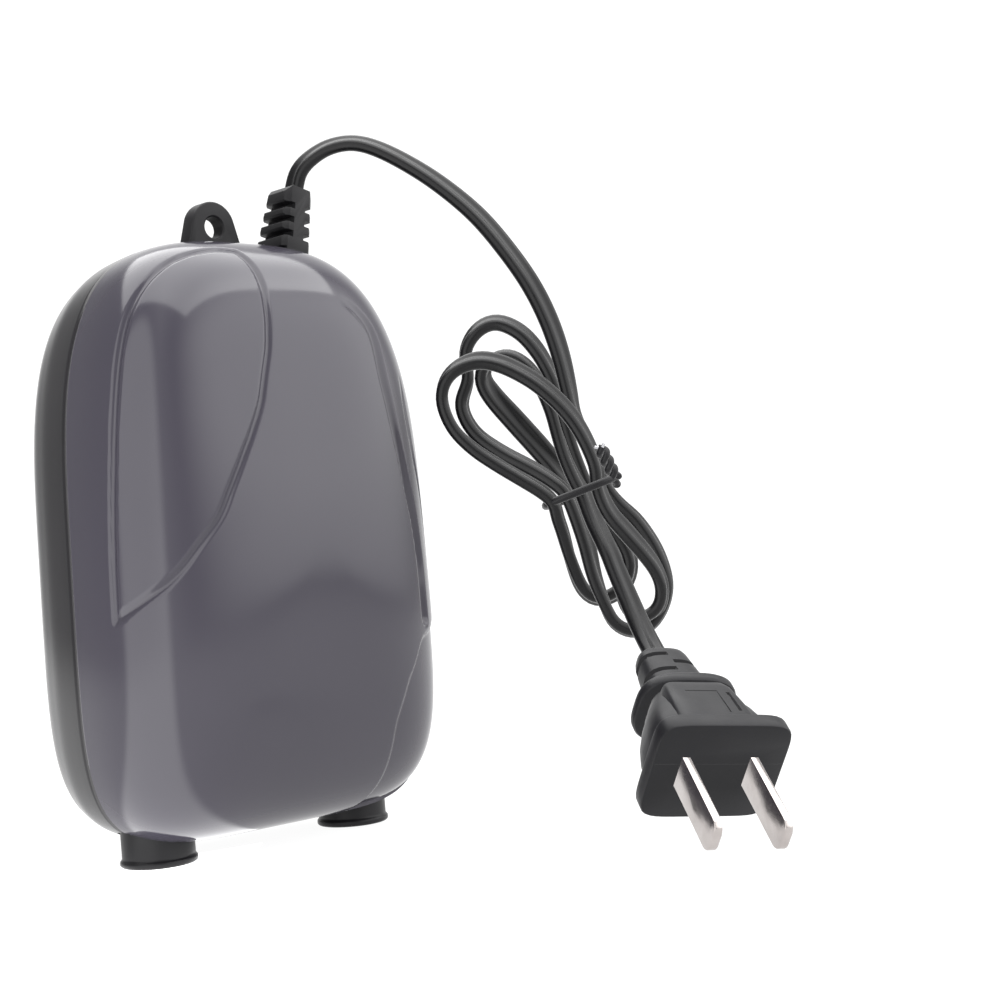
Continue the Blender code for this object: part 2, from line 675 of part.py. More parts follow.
def lead_wires():
    """The two wires from the gland's inner end down to the coil, each with its splice behind the core."""
    for name, shift, sign in (("live", 0.0, 1), ("neutral", 3.2, -1)):
        route = (
            (13.9 - shift, -5.2, 108.6),
            (12.0 - shift, -9.5, 104.0),
            (9.0 * sign, -13.0, 98.5),
            (8.4 * sign, -15.8, 92.0),
            (8.0 * sign, -16.4, 88.6),
        )
        tube(f"lead_wire_{name}", smooth_points(route, 3), 0.8, CORD_PVC)


def hank_frame():
    turn = Matrix.Rotation(HANK_TURN, 4, "Z") @ Matrix.Rotation(HANK_TILT, 4, "Y")
    return Matrix.Translation(Vector(HANK_PLACE) * MM) @ turn


def lead_and_hank():
    frame = hank_frame()
    tube("cord_lead", smooth_points(LEAD_ROUTE, 6), CORD_RADIUS, CORD_PVC, frame)
    tube("cord_tail", smooth_points(TAIL_ROUTE, 6), CORD_RADIUS, CORD_PVC, frame)
    outline = [(p.x, p.y) for p in smooth_points([(x, z, 0) for x, z in HANK_OUTLINE], 4, closed=True)]
    face_on = frame @ Matrix.Rotation(radians(90), 4, "X")
    plate("cord_hank", (outline,), 2 * HANK_HALF_THICK, face_on, CORD_PVC)
    around = frame @ Matrix.Rotation(radians(-20), 4, "Y")
    across, through = 8.4, HANK_HALF_THICK + 1.4
    tie = box("cord_tie", (-across, -through, -1.2), (across, through, 1.2), MATT_BLACK, around)
    cut(tie, box("tie_opening", (1 - across, 1 - through, -3), (across - 1, through - 1, 3), matrix=around))
    ends = ((across + 0.4, -1, 0), (across + 1.8, -4, 5.5))
    join(tie, cylinder("tie_twist", *ends, 1.0, segments=12, matrix=around))


def plug():
    aim, across = Vector(PLUG_AIM).normalized(), Vector(PLUG_ACROSS)
    side = (across - across.dot(aim) * aim).normalized()
    frame = Matrix((side, aim.cross(side), aim)).transposed().to_4x4()
    frame.translation = Vector(PLUG_PLACE) * MM
    shape = bmesh.new()
    rings = []
    for along, half_width, half_height in PLUG_SECTIONS:
        ring = []
        for i in range(24):
            angle = 2 * pi * (i + 0.5) / 24
            reach = (abs(cos(angle)) ** 5 + abs(sin(angle)) ** 5) ** -0.2
            place = (half_width * reach * cos(angle), half_height * reach * sin(angle), along)
            ring.append(shape.verts.new([v * MM for v in place]))
        rings.append(ring)
    for near, far in zip(rings, rings[1:]):
        skin_between(shape, near, far)
    for end in (rings[0], rings[-1]):
        shape.faces.new(end)
    body = add_bmesh("plug_body", shape, MATT_BLACK, frame)
    thick, wide, long = BLADE_SIZE
    for name, sign in SIDES:
        x = sign * BLADE_SPACING / 2
        low, high = (x - thick / 2, -wide / 2, -BLADE_ROOT), (x + thick / 2, wide / 2, long)
        box(f"plug_blade_{name}", low, high, BRASS, frame, bevel=0.3)
        grown = ([v - GAP for v in low], [v + GAP for v in high])
        cut(body, box(f"blade_pocket_{name}", *grown, matrix=frame))


def main():
    open_the_seam(top_cover(), base_shell())
    hanging_lug()
    cord_gland()
    rubber_feet()
    case_screws()
    outlets()
    intake_filter()
    core()
    swing_arms()
    pumping_sides()
    lead_wires()
    lead_and_hank()
    plug()


main()
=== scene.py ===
from math import cos, pi, radians, sin

import bmesh
import bpy
import numpy as np
from mathutils import Matrix, Vector


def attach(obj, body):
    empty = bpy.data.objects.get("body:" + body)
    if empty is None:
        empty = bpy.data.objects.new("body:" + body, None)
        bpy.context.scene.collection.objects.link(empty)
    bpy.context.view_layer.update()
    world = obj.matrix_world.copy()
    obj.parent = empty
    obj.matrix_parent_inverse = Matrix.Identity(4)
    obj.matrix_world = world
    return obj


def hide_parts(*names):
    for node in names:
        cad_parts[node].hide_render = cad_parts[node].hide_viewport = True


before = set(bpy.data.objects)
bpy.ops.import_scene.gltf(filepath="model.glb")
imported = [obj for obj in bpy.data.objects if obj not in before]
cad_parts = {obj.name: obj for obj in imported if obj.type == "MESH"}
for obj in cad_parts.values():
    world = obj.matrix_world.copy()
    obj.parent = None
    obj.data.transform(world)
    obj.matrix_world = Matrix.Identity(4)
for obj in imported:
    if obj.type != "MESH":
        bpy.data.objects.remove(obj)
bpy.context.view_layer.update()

# Lengths are in millimetres, as in the CAD, and MM turns them into metres.
MM = 0.001
GAP = 0.3
FINE_EDGE = 0.22
LEAST_RADIUS = 0.01
TINY = 1e-9
SIDES = (("left", -1), ("right", 1))

# Casing
HALF_WIDTH = 37.7
HALF_LENGTH = 57.3
CENTRE_Z = 60.7
TOP_Z = 118.0
COVER_DEPTH = 27.6
BASE_DEPTH = 19.5
SEAM_Y = 0.5
WALL = 2.2
ROUND_TOP = 3.2
ROUND_BOTTOM = 5.4
TAPER = 0.035
COVER_POWERS = (0.74, 0.72, 0.67)
COVER_AROUND = 720
COVER_RISE = 170
COVER_INSIDE = (0, 5, 12, 22, 34, 48, 62, 77, 88)
NORMAL_STEP = 1e-4
BASE_AROUND = 360
BASE_WALL = ((0, 0), (0.18, 0.2), (0.4, 0.6), (0.57, 1.3), (0.75, 2.3), (0.88, 3.6), (0.95, 5.2), (1, 9.0))
FLOOR_Y = SEAM_Y + BASE_DEPTH
FLOOR_IN_Y = FLOOR_Y - WALL
CASE_SCREWS = ((-16.0, 18.3), (16.0, 18.3), (-17.5, 101.0), (17.5, 101.0))
FEET = ((-19.3, 29.9), (19.3, 29.9), (-19.3, 91.5), (19.3, 91.5))
INTAKE_Z = 32.6
INTAKE_LOBE = 2.8
INTAKE_SPREAD = 3.7

# Lines on the cover, as (degrees round the outline from +X, degrees up its section from the seam)
LEAF_OUTER = ((100, 24), (106, 22.3), (113, 22), (121, 21.3), (129, 20.6), (135.5, 19.8), (141, 19.8))
LEAF_OUTER += ((147, 20.3), (154, 20.6), (163, 20), (172, 18.8), (179, 17.9), (186, 17.3), (194, 17.1))
LEAF_INNER = ((100, 24), (98.8, 32), (99.4, 40.5), (101.8, 48), (106, 55.6), (113, 62.6), (126.3, 69.4))
LEAF_INNER += ((139.5, 71), (153, 69.2), (166, 65.2), (175.5, 60.6), (184, 51.4), (188.4, 43.6))
LEAF_INNER += ((191, 34), (194, 17.1))
RIGHT_CREASE = ((63, 44), (56.5, 45.2), (50.5, 47.2), (44, 54), (38, 57.2), (27.8, 58.6), (12.5, 56.4))
RIGHT_CREASE += ((1, 52.8), (-9.5, 50.8), (-18, 50.6), (-25, 50.4))
RIGHT_EDGE = ((34, 42), (28, 46), (17, 45), (4, 38.5), (-9, 35), (-17, 33.8), (-22, 36))
SIDE_PANEL = ((5, 12.4), (-5, 19), (-13, 26), (-20, 34), (-25, 43), (-31.5, 54.4), (-42.8, 59.6))
SIDE_PANEL += ((-50.2, 58), (-56.5, 52.8), (-60.5, 44), (-63.4, 35), (-66.6, 24), (-70, 12.4))
LINE_STEPS = 14

# Half width and depth of each groove along those lines
LEAF_GROOVE = (0.95, 0.55)
CREASE_GROOVE = (1.7, 0.95)
EDGE_GROOVE = (0.8, 0.35)
# The degrees round the outline at which a groove runs out, and over how many it does so
CREASE_FADE = (66, 22)
EDGE_FADE = (36, 14)
PANEL_DROP = 0.55
PANEL_SLOPE = 0.5

# The seam's small step, and how the two shells are held together
RIM_INSET = 0.35
COVER_BOSS = 3.6
COVER_BOSS_DEPTH = 19.7
COVER_PILOT = 1.6
COVER_PILOT_DEPTH = 13
BASE_BOSS = 4.0
BASE_CORNER = ((0.975, 6.4), (0.992, 7.9), (1.0, 9.6), (1.0, 11.0))
SCREW_RECESS = ((0, 30), (3.15, 30), (3.15, BASE_DEPTH + 0.02), (2.85, BASE_DEPTH - 0.45))
SCREW_RECESS += ((2.85, 7.0), (1.7, 7.0), (1.7, -5), (0, -5))
FOOT_BORE = 1.9

# Outlets: each profile is (radius, height) from the floor up
OUTLET_X = 23.7
OUTLET_BORE = 7.3
COLLAR_TOP = 12.6
NOZZLE_TOP = 20.0
COLLAR = ((6.9, COLLAR_TOP), (6.9, 1.5), (7.3, 1.1), (7.3, 0.35), (6.9, 0), (5.75, 0), (5.4, 0.5))
COLLAR += ((5.4, 8.8), (2.6, 8.8), (2.6, COLLAR_TOP), (6.9, COLLAR_TOP))
NOZZLE = ((1.9, NOZZLE_TOP), (2.4, 18.4), (2.1, 18.2), (2.1, 14.3), (3.7, 14.3))
NOZZLE += ((3.7, COLLAR_TOP + GAP), (2.2, COLLAR_TOP + GAP), (2.2, 4.6), (2.5, 4.4), (2.05, 1.8))
NOZZLE += ((1.2, 1.8), (1.2, NOZZLE_TOP), (1.9, NOZZLE_TOP))
COLLAR_CORNER = 0.3
NOZZLE_CORNER = 0.15

# Rubber feet: (radius, height) from the base's floor outward
FOOT = ((0.3, 7.1), (1.0, 7.1), (3.05, 4.75), (3.05, 4.15), (2.55, 3.7), (2.45, 3.2), (2.6, 2.6))
FOOT += ((2.6, 1.1), (2.95, 0.9), (2.95, GAP), (1.55, GAP), (1.55, -WALL - GAP), (2.8, -WALL - GAP))
FOOT += ((2.2, -WALL - 3.4), (0.2, -WALL - 3.4))
FOOT_CORNER = 0.35

# Hanging lug and gland
LUG_HEIGHT = 8.95
LUG_RADIUS = 5.05
LUG_HALF = 5.4
LUG_SHOULDER = 6.3
LUG_FLANGE = 7.5
LUG_SEAT = 3.0
LUG_ROOT = 5.2
LUG_EDGE = 0.5
LUG_HOLE = 2.15
LUG_HOLE_Z = 121.8
LUG_CHAMFER = 0.3
LUG_Y = (SEAM_Y - 0.9, SEAM_Y + 2.7)
GLAND_PLACE = (15.7, -1.0, 116.85)
GLAND_TILT = radians(14)
GLAND_HEIGHT = 13.7
GLAND_HALF = 3.5
GLAND_DEPTH = 9.8
GLAND_WEB = 1.3
GLAND_NECK = 2.6
GLAND_FOOT = (-5.9, -3.7, 0.45)
# The gland's slots: how many, the height of the first, their pitch, their width and the fins' chamfers
GLAND_SLOTS = 3
GLAND_FIRST = 2.8
GLAND_PITCH = 3.0
GLAND_SLOT = 1.3
FIN_CHAMFER = (0.45, 0.35)
CROWN_CHAMFER = (1.4, 1.6)
COMB_REACH = (-6.0, 6.4)
# The gland's taper: (height, half width, near side, far side), with its corners cut off
GLAND_TAPER = ((-7, 4.3, -5.3, 5.0), (0.3, 3.75, -5.15, 5.0), (GLAND_HEIGHT + 0.5, 3.3, -4.0, 3.3))
GLAND_CORNER = 1.1

# Lead, in a frame whose X runs across the hank, Y away through it and Z up it.
# Each point also has the turn of the flat cord's width out of that plane, in degrees.
CORD_LOBE = 1.2
CORD_STEP = 0.95
CORD_EASING = 24
# Each round core's outline reaches this many degrees to either side before it meets the web
CORE_ARC = 128
HANK_PLACE = (48.0, -48.4, 63.6)
HANK_TURN = radians(-44.3)
HANK_TILT = radians(4.6)
LEAD_ROUTE = (
    (-58.0, 13.2, 62.6, 134),
    (-57.2, 13.1, 65.8, 132),
    (-54.9, 12.9, 68.5, 128),
    (-50.8, 12.4, 70.9, 124),
    (-45.6, 11.8, 71.6, 122),
    (-40.0, 11.0, 69.9, 124),
    (-32.8, 9.8, 65.9, 128),
    (-26.4, 8.5, 61.3, 132),
    (-20.2, 7.0, 55.7, 136),
    (-14.6, 5.0, 48.8, 138),
    (-9.8, 3.0, 41.6, 138),
    (-6.3, 1.6, 34.4, 136),
    (-3.9, 0.6, 27.2, 130),
    (-2.3, 0.0, 20.0, 118),
    (-1.6, 0.0, 16.4, 110),
    (0.0, 0.9, 12.9, 100),
    (1.9, 1.9, 9.2, 95),
    (3.8, 2.5, 5.2, 95),
    (4.9, 2.6, 1.8, 95),
)
LOWER_BIG = (
    (7.6, 2.5, -1.8, 100),
    (11.4, 2.4, -5.4, 105),
    (15.2, 2.2, -11.2, 105),
    (17.2, 2.0, -17.4, 100),
    (16.4, 1.4, -22.2, 100),
    (13.9, 0.6, -25.8, 100),
    (10.4, -0.2, -27.2, 100),
    (6.7, -0.8, -25.5, 95),
    (4.5, -1.2, -21.3, 85),
    (2.6, -1.6, -16.1, 70),
    (0.8, -2.2, -9.0, 60),
    (-2.5, -2.6, -0.9, 75),
)
UPPER_BACK = (
    (-4.9, -2.2, 1.8, 75),
    (-9.4, -1.2, 4.8, 70),
    (-15.7, -0.2, 8.2, 70),
    (-21.0, 0.6, 12.2, 75),
    (-23.5, 1.0, 17.4, 80),
    (-22.2, 1.3, 22.6, 90),
    (-22.8, 1.6, 28.0, 95),
    (-20.6, 1.8, 32.2, 110),
    (-16.8, 1.8, 34.0, 118),
    (-12.2, 1.6, 32.2, 120),
    (-8.6, 1.4, 28.4, 118),
    (-6.2, 1.4, 24.0, 110),
    (-4.6, 1.8, 19.0, 100),
    (-3.2, 2.2, 14.0, 90),
    (-1.4, 2.5, 8.5, 90),
    (1.7, 2.6, 0.6, 90),
)
LOWER_LEFT = (
    (3.6, 3.0, -2.8, 90),
    (6.8, 3.4, -7.0, 100),
    (9.4, 3.6, -11.0, 110),
    (10.2, 3.7, -14.4, 110),
    (9.2, 3.7, -17.8, 110),
    (6.6, 3.6, -20.2, 110),
    (3.2, 3.2, -20.9, 105),
    (0.4, 2.4, -18.7, 100),
    (-1.9, 0.6, -13.2, 90),
    (-3.5, -0.8, -7.8, 80),
    (-4.7, -2.0, -4.4, 80),
    (-5.3, -2.6, -1.9, 80),
)
UPPER_FRONT = (
    (-7.7, -2.8, 0.3, 75),
    (-11.7, -3.0, 2.8, 72),
    (-16.4, -3.2, 5.5, 76),
    (-21.4, -3.4, 8.8, 82),
    (-25.4, -3.6, 13.0, 88),
    (-27.3, -3.7, 18.6, 90),
    (-25.7, -3.8, 23.2, 104),
    (-21.0, -3.8, 25.8, 124),
    (-16.0, -3.8, 25.3, 128),
    (-10.6, -3.8, 22.7, 126),
    (-7.0, -3.7, 20.1, 124),
    (-3.7, -3.5, 17.0, 122),
    (-1.0, -3.3, 13.6, 118),
    (1.3, -3.1, 9.4, 114),
    (3.0, -2.8, 4.9, 110),
    (3.3, -2.6, 1.2, 110),
)
LOWER_INNER = (
    (5.4, -2.9, -3.6, 118),
    (8.9, -3.0, -7.7, 122),
    (12.3, -2.9, -11.6, 118),
    (14.8, -2.6, -15.2, 110),
    (15.9, -2.2, -18.8, 105),
    (15.2, -1.8, -22.4, 105),
    (12.2, -1.4, -24.6, 105),
    (9.1, -0.9, -22.4, 100),
    (7.7, -0.2, -17.2, 95),
    (5.6, 0.8, -10.6, 90),
    (2.4, 2.0, -4.8, 85),
    (-1.3, 2.6, -0.5, 80),
)
UPPER_MIDDLE = (
    (-3.2, 2.8, 2.6, 50),
    (-5.2, 3.0, 5.7, 30),
    (-8.2, 3.0, 9.3, 18),
    (-12.9, 3.0, 14.5, 18),
    (-17.6, 3.0, 19.8, 35),
    (-19.4, 2.8, 23.4, 65),
    (-18.0, 2.4, 26.3, 90),
    (-14.4, 2.0, 27.4, 105),
    (-10.6, 1.4, 25.3, 105),
    (-8.1, 0.9, 21.8, 100),
    (-6.2, 0.4, 17.5, 95),
    (-4.9, -0.4, 12.5, 95),
    (-3.3, -1.5, 7.3, 100),
    (-1.4, -2.2, 3.0, 105),
    (0.4, -2.8, -0.2, 115),
)
TAIL_ROUTE = (
    (2.4, -5.2, -5.4, 125),
    (5.0, -8.6, -11.2, 128),
    (6.3, -9.8, -14.6, 130),
    (8.5, -11.9, -20.0, 134),
    (10.6, -15.0, -25.2, 138),
    (12.3, -18.3, -28.9, 142),
    (14.2, -24.4, -32.9, 146),
)

# How far apart the hank's strands are eased, in how many rounds and by what share of the overlap,
# how many steps along the cord count as its neighbours, and how many from the gland stay in place
STRAND_GAP = 2.9
STRAND_ROUNDS = 60
STRAND_PUSH = 0.25
STRAND_NEAR = 10
FREE_STEPS = 70

# Tie: a loop with its two ends twisted together
TIE_TURN = radians(-20)
TIE_HALF = (7.3, 5.5)
TIE_LIFT = 0.7
TIE_WIRE = 0.8
TIE_TWIST_WIRE = 0.85 * TIE_WIRE
TIE_CORE = 0.3
TIE_TURNS = (-20, 338)
TIE_STEPS = 90
# The bare core at each trimmed end starts inside the wire and stands out of it
CORE_STEPS = (-0.3, 0.3, 0.9)
# A direction that no wire runs along, to build the wire's section on
WIRE_SIDE = (0.3, 0.9, 0.2)
TWIST_START = (7.2, -3.4, 0.6)
TWIST_UP = (-0.12, -0.2, 1.0)
TWIST_LENGTH = 6.6
TWIST_RADIUS = 0.75
TWIST_ANGLE = 3.6 * pi

# Plug: the middle of its face, the way its blades point and the way they stand apart
PLUG_PLACE = (27.0, -94.5, 13.3)
PLUG_AIM = (-0.419, -0.709, -0.567)
PLUG_ACROSS = (0.892, -0.437, -0.111)
BLADE_SPACING = 12.7
BLADE_SIZE = (1.5, 6.35, 17.2)
BLADE_ROOT = 4.0
BLADE_TIP = 2.3
BLADE_FIT = 0.1

# The plug's lofts: (height from its face, half width, half depth) and the roundness of each
PLUG_FACE = ((0, 11.9, 9.85), (-0.1, 12.13, 10.08), (-0.35, 12.25, 10.2), (-2.9, 12.25, 10.2))
PLUG_FACE += ((-3.2, 12.15, 10.1), (-3.35, 11.9, 9.85))
PLUG_WAIST = ((-3.0, 11.0, 8.3), (-4.6, 11.0, 8.3), (-7.0, 10.9, 8.0), (-10.0, 10.2, 7.4))
PLUG_WAIST += ((-13, 9.0, 6.6), (-15.6, 7.6, 5.8), (-18.5, 6.6, 5.2))
PLUG_FLANGE = ((-16.3, 8.6, 6.6), (-16.55, 9.15, 7.1), (-17.0, 9.4, 7.35), (-18.3, 9.4, 7.35))
PLUG_FLANGE += ((-18.75, 9.15, 7.1), (-19.0, 8.6, 6.6))
PLUG_RELIEF = ((-18.0, 6.1, 4.9), (-22, 5.7, 4.4), (-26, 5.3, 3.9), (-30.2, 4.9, 3.4))
PLUG_RELIEF += ((-31.4, 4.6, 3.1), (-32.1, 4.0, 2.6), (-32.4, 3.2, 1.9))
PLUG_PANEL = ((-3.0, 7.6, 8.9), (-4.0, 7.6, 8.75), (-9.0, 7.2, 8.2), (-14.6, 6.6, 7.4), (-16.8, 6.0, 6.6))
LOFT_AROUND = 96
FACE_ROUND = 7.0
WAIST_ROUND = 3.6
FLANGE_ROUND = 3.0
RELIEF_ROUND = 3.0
PANEL_ROUND = 9.0

# Slots across the relief: the lowest on each side, their pitch and half width, the core that they
# leave at the narrow end and how fast it grows, and how far out they cut right through
RELIEF_SLOTS = {-1: -29.2, 1: -26.5}
RELIEF_PITCH = 5.2
RELIEF_SLOT = 0.6
RELIEF_CORE = 2.0
RELIEF_FLARE = 0.06
RELIEF_THROUGH = 3.6

# Two plain recesses in the panel, and the line round the plug's face where its two moulds met
PANEL_PLACE = (0, 8.15, -9.0)
PANEL_TILT = radians(-6)
PANEL_RECESSES = (((-3.4, -0.22, -4.0), (2.6, 3, 3.2)), ((4.1, -0.6, -3.4), (4.8, 3, 2.8)))
FACE_LINE = ((-14, 1.8, -0.04), (14, 1.9, 1))

# Camera
CAMERA_PLACE = (-215.18, -294.62, 56.53)
CAMERA_TURN = radians(-44.28)
CAMERA_ROLL = radians(-4.57)
CAMERA_LENS = 65.77
CAMERA_SENSOR = 36
CAMERA_SHIFT = 0.036

# Light: the lamp is placed in metres, and the rest is the glow of the stage itself.
# Each glow has the way that it lies, where it starts and is full along that way, and its strength.
LAMP_PLACE = (0.1, 0.05, 1.3)
LAMP_TARGET = (0, 0, 0.06)
LAMP_SIZE = (2.0, 1.8)
LAMP_POWER = 36
WORLD_STRENGTH = 0.15
PAPER_COLOUR = (0.15, 0.15, 0.15, 1)
PAPER_ROUGHNESS = 0.9
WHITE = (1, 1, 1, 1)
# The part of the stage behind the pump: the wedge that opens along AHEAD, to either side of it
AHEAD = (0.209, 0.215, 0)
ASIDE = (0.716, -0.698, 0)
WEDGE_REACH = (-1.5, -0.15)
WEDGE_GLOW = (0.25, 0.95)
RIGHT_WAY = (0.584, -0.811, 0.0)
RIGHT_REACH = (1.1, 2.4)
RIGHT_GLOW = (0, 2.3)
STRIP_WAY = (-0.962, -0.274, 0.0)
STRIP_REACH = (0.85, 0.92)
STRIP_GLOW = (0, 1.8)
STRIP_SQUASH = (1, 1, 0.45)

# Stage: a floor, a bend, a wall and a dome
STAGE_RADIUS = 2600
STAGE_BEND = 900
STAGE_WALL = 1500
STAGE_DOME = 1300
STAGE_STEPS = 12
STAGE_AROUND = 96
STAGE_DROP = 0.0002


# ---------------------------------------------------------------- materials


# The middle of a noise pattern's values, which the colours and the gloss are spread over
MIDDLE = (0.3, 0.7)


def noise(tree, scale, detail, stretch):
    """A noise pattern fixed to the object's own coordinates; stretch draws it out along an axis."""
    place = tree.nodes.new("ShaderNodeTexCoord")
    pattern = tree.nodes.new("ShaderNodeTexNoise")
    pattern.inputs["Scale"].default_value = scale
    pattern.inputs["Detail"].default_value = detail
    source = place.outputs["Object"]
    if stretch:
        mapping = tree.nodes.new("ShaderNodeMapping")
        mapping.inputs["Scale"].default_value = stretch
        tree.links.new(source, mapping.inputs["Vector"])
        source = mapping.outputs["Vector"]
    tree.links.new(source, pattern.inputs["Vector"])
    return pattern.outputs["Fac"]


def between(tree, pattern, low, high):
    """Maps a pattern's middle range onto two values."""
    span = tree.nodes.new("ShaderNodeMapRange")
    span.inputs["From Min"].default_value = MIDDLE[0]
    span.inputs["From Max"].default_value = MIDDLE[1]
    span.inputs["To Min"].default_value = low
    span.inputs["To Max"].default_value = high
    tree.links.new(pattern, span.inputs["Value"])
    return span.outputs["Result"]


def surface(
    name,
    colours,
    rough,
    metallic=0.0,
    specular=0.5,
    mottle=60,
    grain=900,
    bump=0.1,
    depth=0.00005,
    stretch=None,
):
    """A moulded or drawn material: mottled colour, uneven gloss, and a fine grain in its relief."""
    material = bpy.data.materials.new(name)
    material.use_nodes = True
    tree = material.node_tree
    shader = tree.nodes["Principled BSDF"]
    shader.inputs["Metallic"].default_value = metallic
    shader.inputs["Specular IOR Level"].default_value = specular
    ramp = tree.nodes.new("ShaderNodeValToRGB")
    for element, position, colour in zip(ramp.color_ramp.elements, MIDDLE, colours):
        element.position = position
        element.color = (*colour, 1)
    tree.links.new(noise(tree, mottle, 4, stretch), ramp.inputs["Fac"])
    tree.links.new(ramp.outputs["Color"], shader.inputs["Base Color"])
    uneven = noise(tree, mottle * 2.3, 3, stretch)
    tree.links.new(between(tree, uneven, *rough), shader.inputs["Roughness"])
    relief = tree.nodes.new("ShaderNodeBump")
    relief.inputs["Strength"].default_value = bump
    relief.inputs["Distance"].default_value = depth
    tree.links.new(noise(tree, grain, 2, stretch), relief.inputs["Height"])
    tree.links.new(relief.outputs["Normal"], shader.inputs["Normal"])
    return material


COVER = surface(
    "cover_plastic",
    ((0.038, 0.035, 0.047), (0.042, 0.0385, 0.051)),
    (0.10, 0.14),
    mottle=25,
    grain=240,
    bump=0.04,
)
BASE = surface(
    "base_plastic",
    ((0.010, 0.0095, 0.011), (0.013, 0.012, 0.014)),
    (0.14, 0.2),
    mottle=40,
    grain=500,
    bump=0.05,
)
SATIN = surface(
    "satin_black",
    ((0.006, 0.0058, 0.0068), (0.009, 0.0087, 0.01)),
    (0.33, 0.42),
    specular=0.22,
    grain=1500,
    bump=0.2,
)
RUBBER = surface(
    "rubber",
    ((0.007, 0.0068, 0.0078), (0.0105, 0.01, 0.0115)),
    (0.42, 0.55),
    specular=0.22,
    grain=1300,
    bump=0.3,
)
CORD = surface(
    "cord_pvc",
    ((0.0035, 0.0035, 0.004), (0.005, 0.005, 0.0055)),
    (0.26, 0.34),
    specular=0.25,
    mottle=120,
    grain=1200,
    bump=0.15,
)
PLUG = surface(
    "plug_pvc",
    ((0.006, 0.006, 0.0075), (0.009, 0.0088, 0.0105)),
    (0.36, 0.46),
    specular=0.25,
    mottle=90,
    grain=1500,
    bump=0.25,
)
BLADE = surface(
    "brass",
    ((0.42, 0.385, 0.37), (0.52, 0.48, 0.465)),
    (0.14, 0.2),
    metallic=1.0,
    mottle=220,
    bump=0.02,
)
STEEL = surface(
    "steel",
    ((0.42, 0.42, 0.43), (0.52, 0.52, 0.54)),
    (0.3, 0.42),
    metallic=1.0,
)
COPPER = surface(
    "copper",
    ((0.42, 0.16, 0.05), (0.5, 0.2, 0.07)),
    (0.3, 0.4),
    metallic=1.0,
    grain=2500,
    stretch=(0.2, 0.2, 1),
)
NYLON = surface(
    "nylon",
    ((0.66, 0.65, 0.6), (0.72, 0.71, 0.67)),
    (0.42, 0.52),
)
FELT = surface(
    "felt",
    ((0.68, 0.67, 0.64), (0.84, 0.83, 0.8)),
    (0.9, 1.0),
    mottle=700,
    grain=2200,
    bump=0.9,
    depth=0.0003,
)
MATERIALS = {
    "cover_plastic": COVER,
    "base_plastic": BASE,
    "satin_black": SATIN,
    "rubber": RUBBER,
    "cord_pvc": CORD,
    "plug_pvc": PLUG,
    "brass": BLADE,
    "steel": STEEL,
    "copper": COPPER,
    "nylon": NYLON,
    "felt": FELT,
}


# ---------------------------------------------------------------- mesh tools


def piece(name, data, slot, *nodes, body="pump", angle=35):
    """A shown piece: it rides on a body, takes its finish from a slot and stands for CAD nodes."""
    obj = bpy.data.objects.new(name, data)
    bpy.context.scene.collection.objects.link(obj)
    data.materials.clear()
    data.materials.append(MATERIALS[slot])
    data.shade_smooth()
    data.set_sharp_from_angle(angle=radians(angle))
    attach(obj, body)
    if nodes:
        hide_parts(*nodes)
    return obj


def mesh_of(shape):
    """The mesh of a bmesh, with its faces turned outward."""
    bmesh.ops.recalc_face_normals(shape, faces=shape.faces)
    mesh = bpy.data.meshes.new("shape")
    shape.to_mesh(mesh)
    shape.free()
    return mesh


def stack(rings, close=False):
    """A closed skin over rings of as many points each, in mm; close joins the last ring to the first."""
    count = len(rings[0])
    points = np.concatenate(rings) * MM
    shape = bmesh.new()
    verts = [shape.verts.new(p) for p in points]
    steps = range(len(rings) if close else len(rings) - 1)
    for i in steps:
        low, high = i * count, (i + 1) % len(rings) * count
        for j in range(count):
            k = (j + 1) % count
            shape.faces.new((verts[low + j], verts[low + k], verts[high + k], verts[high + j]))
    if not close:
        shape.faces.new(verts[:count])
        shape.faces.new(verts[-count:])
    return mesh_of(shape)


def moved(mesh, matrix):
    mesh.transform(matrix)
    return mesh


def round_turns(count):
    """Angles that go evenly round a circle, in radians."""
    return np.arange(count) * 2 * pi / count


def squarish(turns, power):
    """The radius of a rounded square at some angles; the higher the power, the squarer it is."""
    return (np.abs(np.cos(turns)) ** power + np.abs(np.sin(turns)) ** power) ** (-1 / power)


def unit(vectors):
    """Vectors, or one, brought to length 1."""
    return vectors / np.linalg.norm(vectors, axis=-1, keepdims=True)


def run_along(points):
    """How far along a line of points each of them lies."""
    steps = np.linalg.norm(np.diff(points, axis=0), axis=1)
    return np.concatenate([[0], np.cumsum(steps)])


def helper(mesh):
    """An object that holds a mesh while modifiers work on it."""
    holder = bpy.data.objects.new("helper", mesh)
    bpy.context.scene.collection.objects.link(holder)
    return holder


def evaluated(target):
    """The mesh that an object's modifiers make of it."""
    bpy.context.view_layer.update()
    graph = bpy.context.evaluated_depsgraph_get()
    return bpy.data.meshes.new_from_object(target.evaluated_get(graph))


def combine(mesh, operation, *tools):
    """Cuts, joins or intersects a closed mesh with others, and returns the new mesh."""
    target = helper(mesh)
    helpers = [target]
    for tool in tools:
        other = helper(tool)
        helpers.append(other)
        change = target.modifiers.new("change", "BOOLEAN")
        change.operation = operation
        change.solver = "MANIFOLD"
        change.object = other
    result = evaluated(target)
    for used in helpers:
        bpy.data.objects.remove(used)
    return result


def rounded(mesh, width, segments, angle):
    """Rounds a mesh's edges that are sharper than an angle."""
    holder = helper(mesh)
    change = holder.modifiers.new("rounding", "BEVEL")
    change.width = width * MM
    change.segments = segments
    change.limit_method = "ANGLE"
    change.angle_limit = radians(angle)
    result = evaluated(holder)
    bpy.data.objects.remove(holder)
    return result


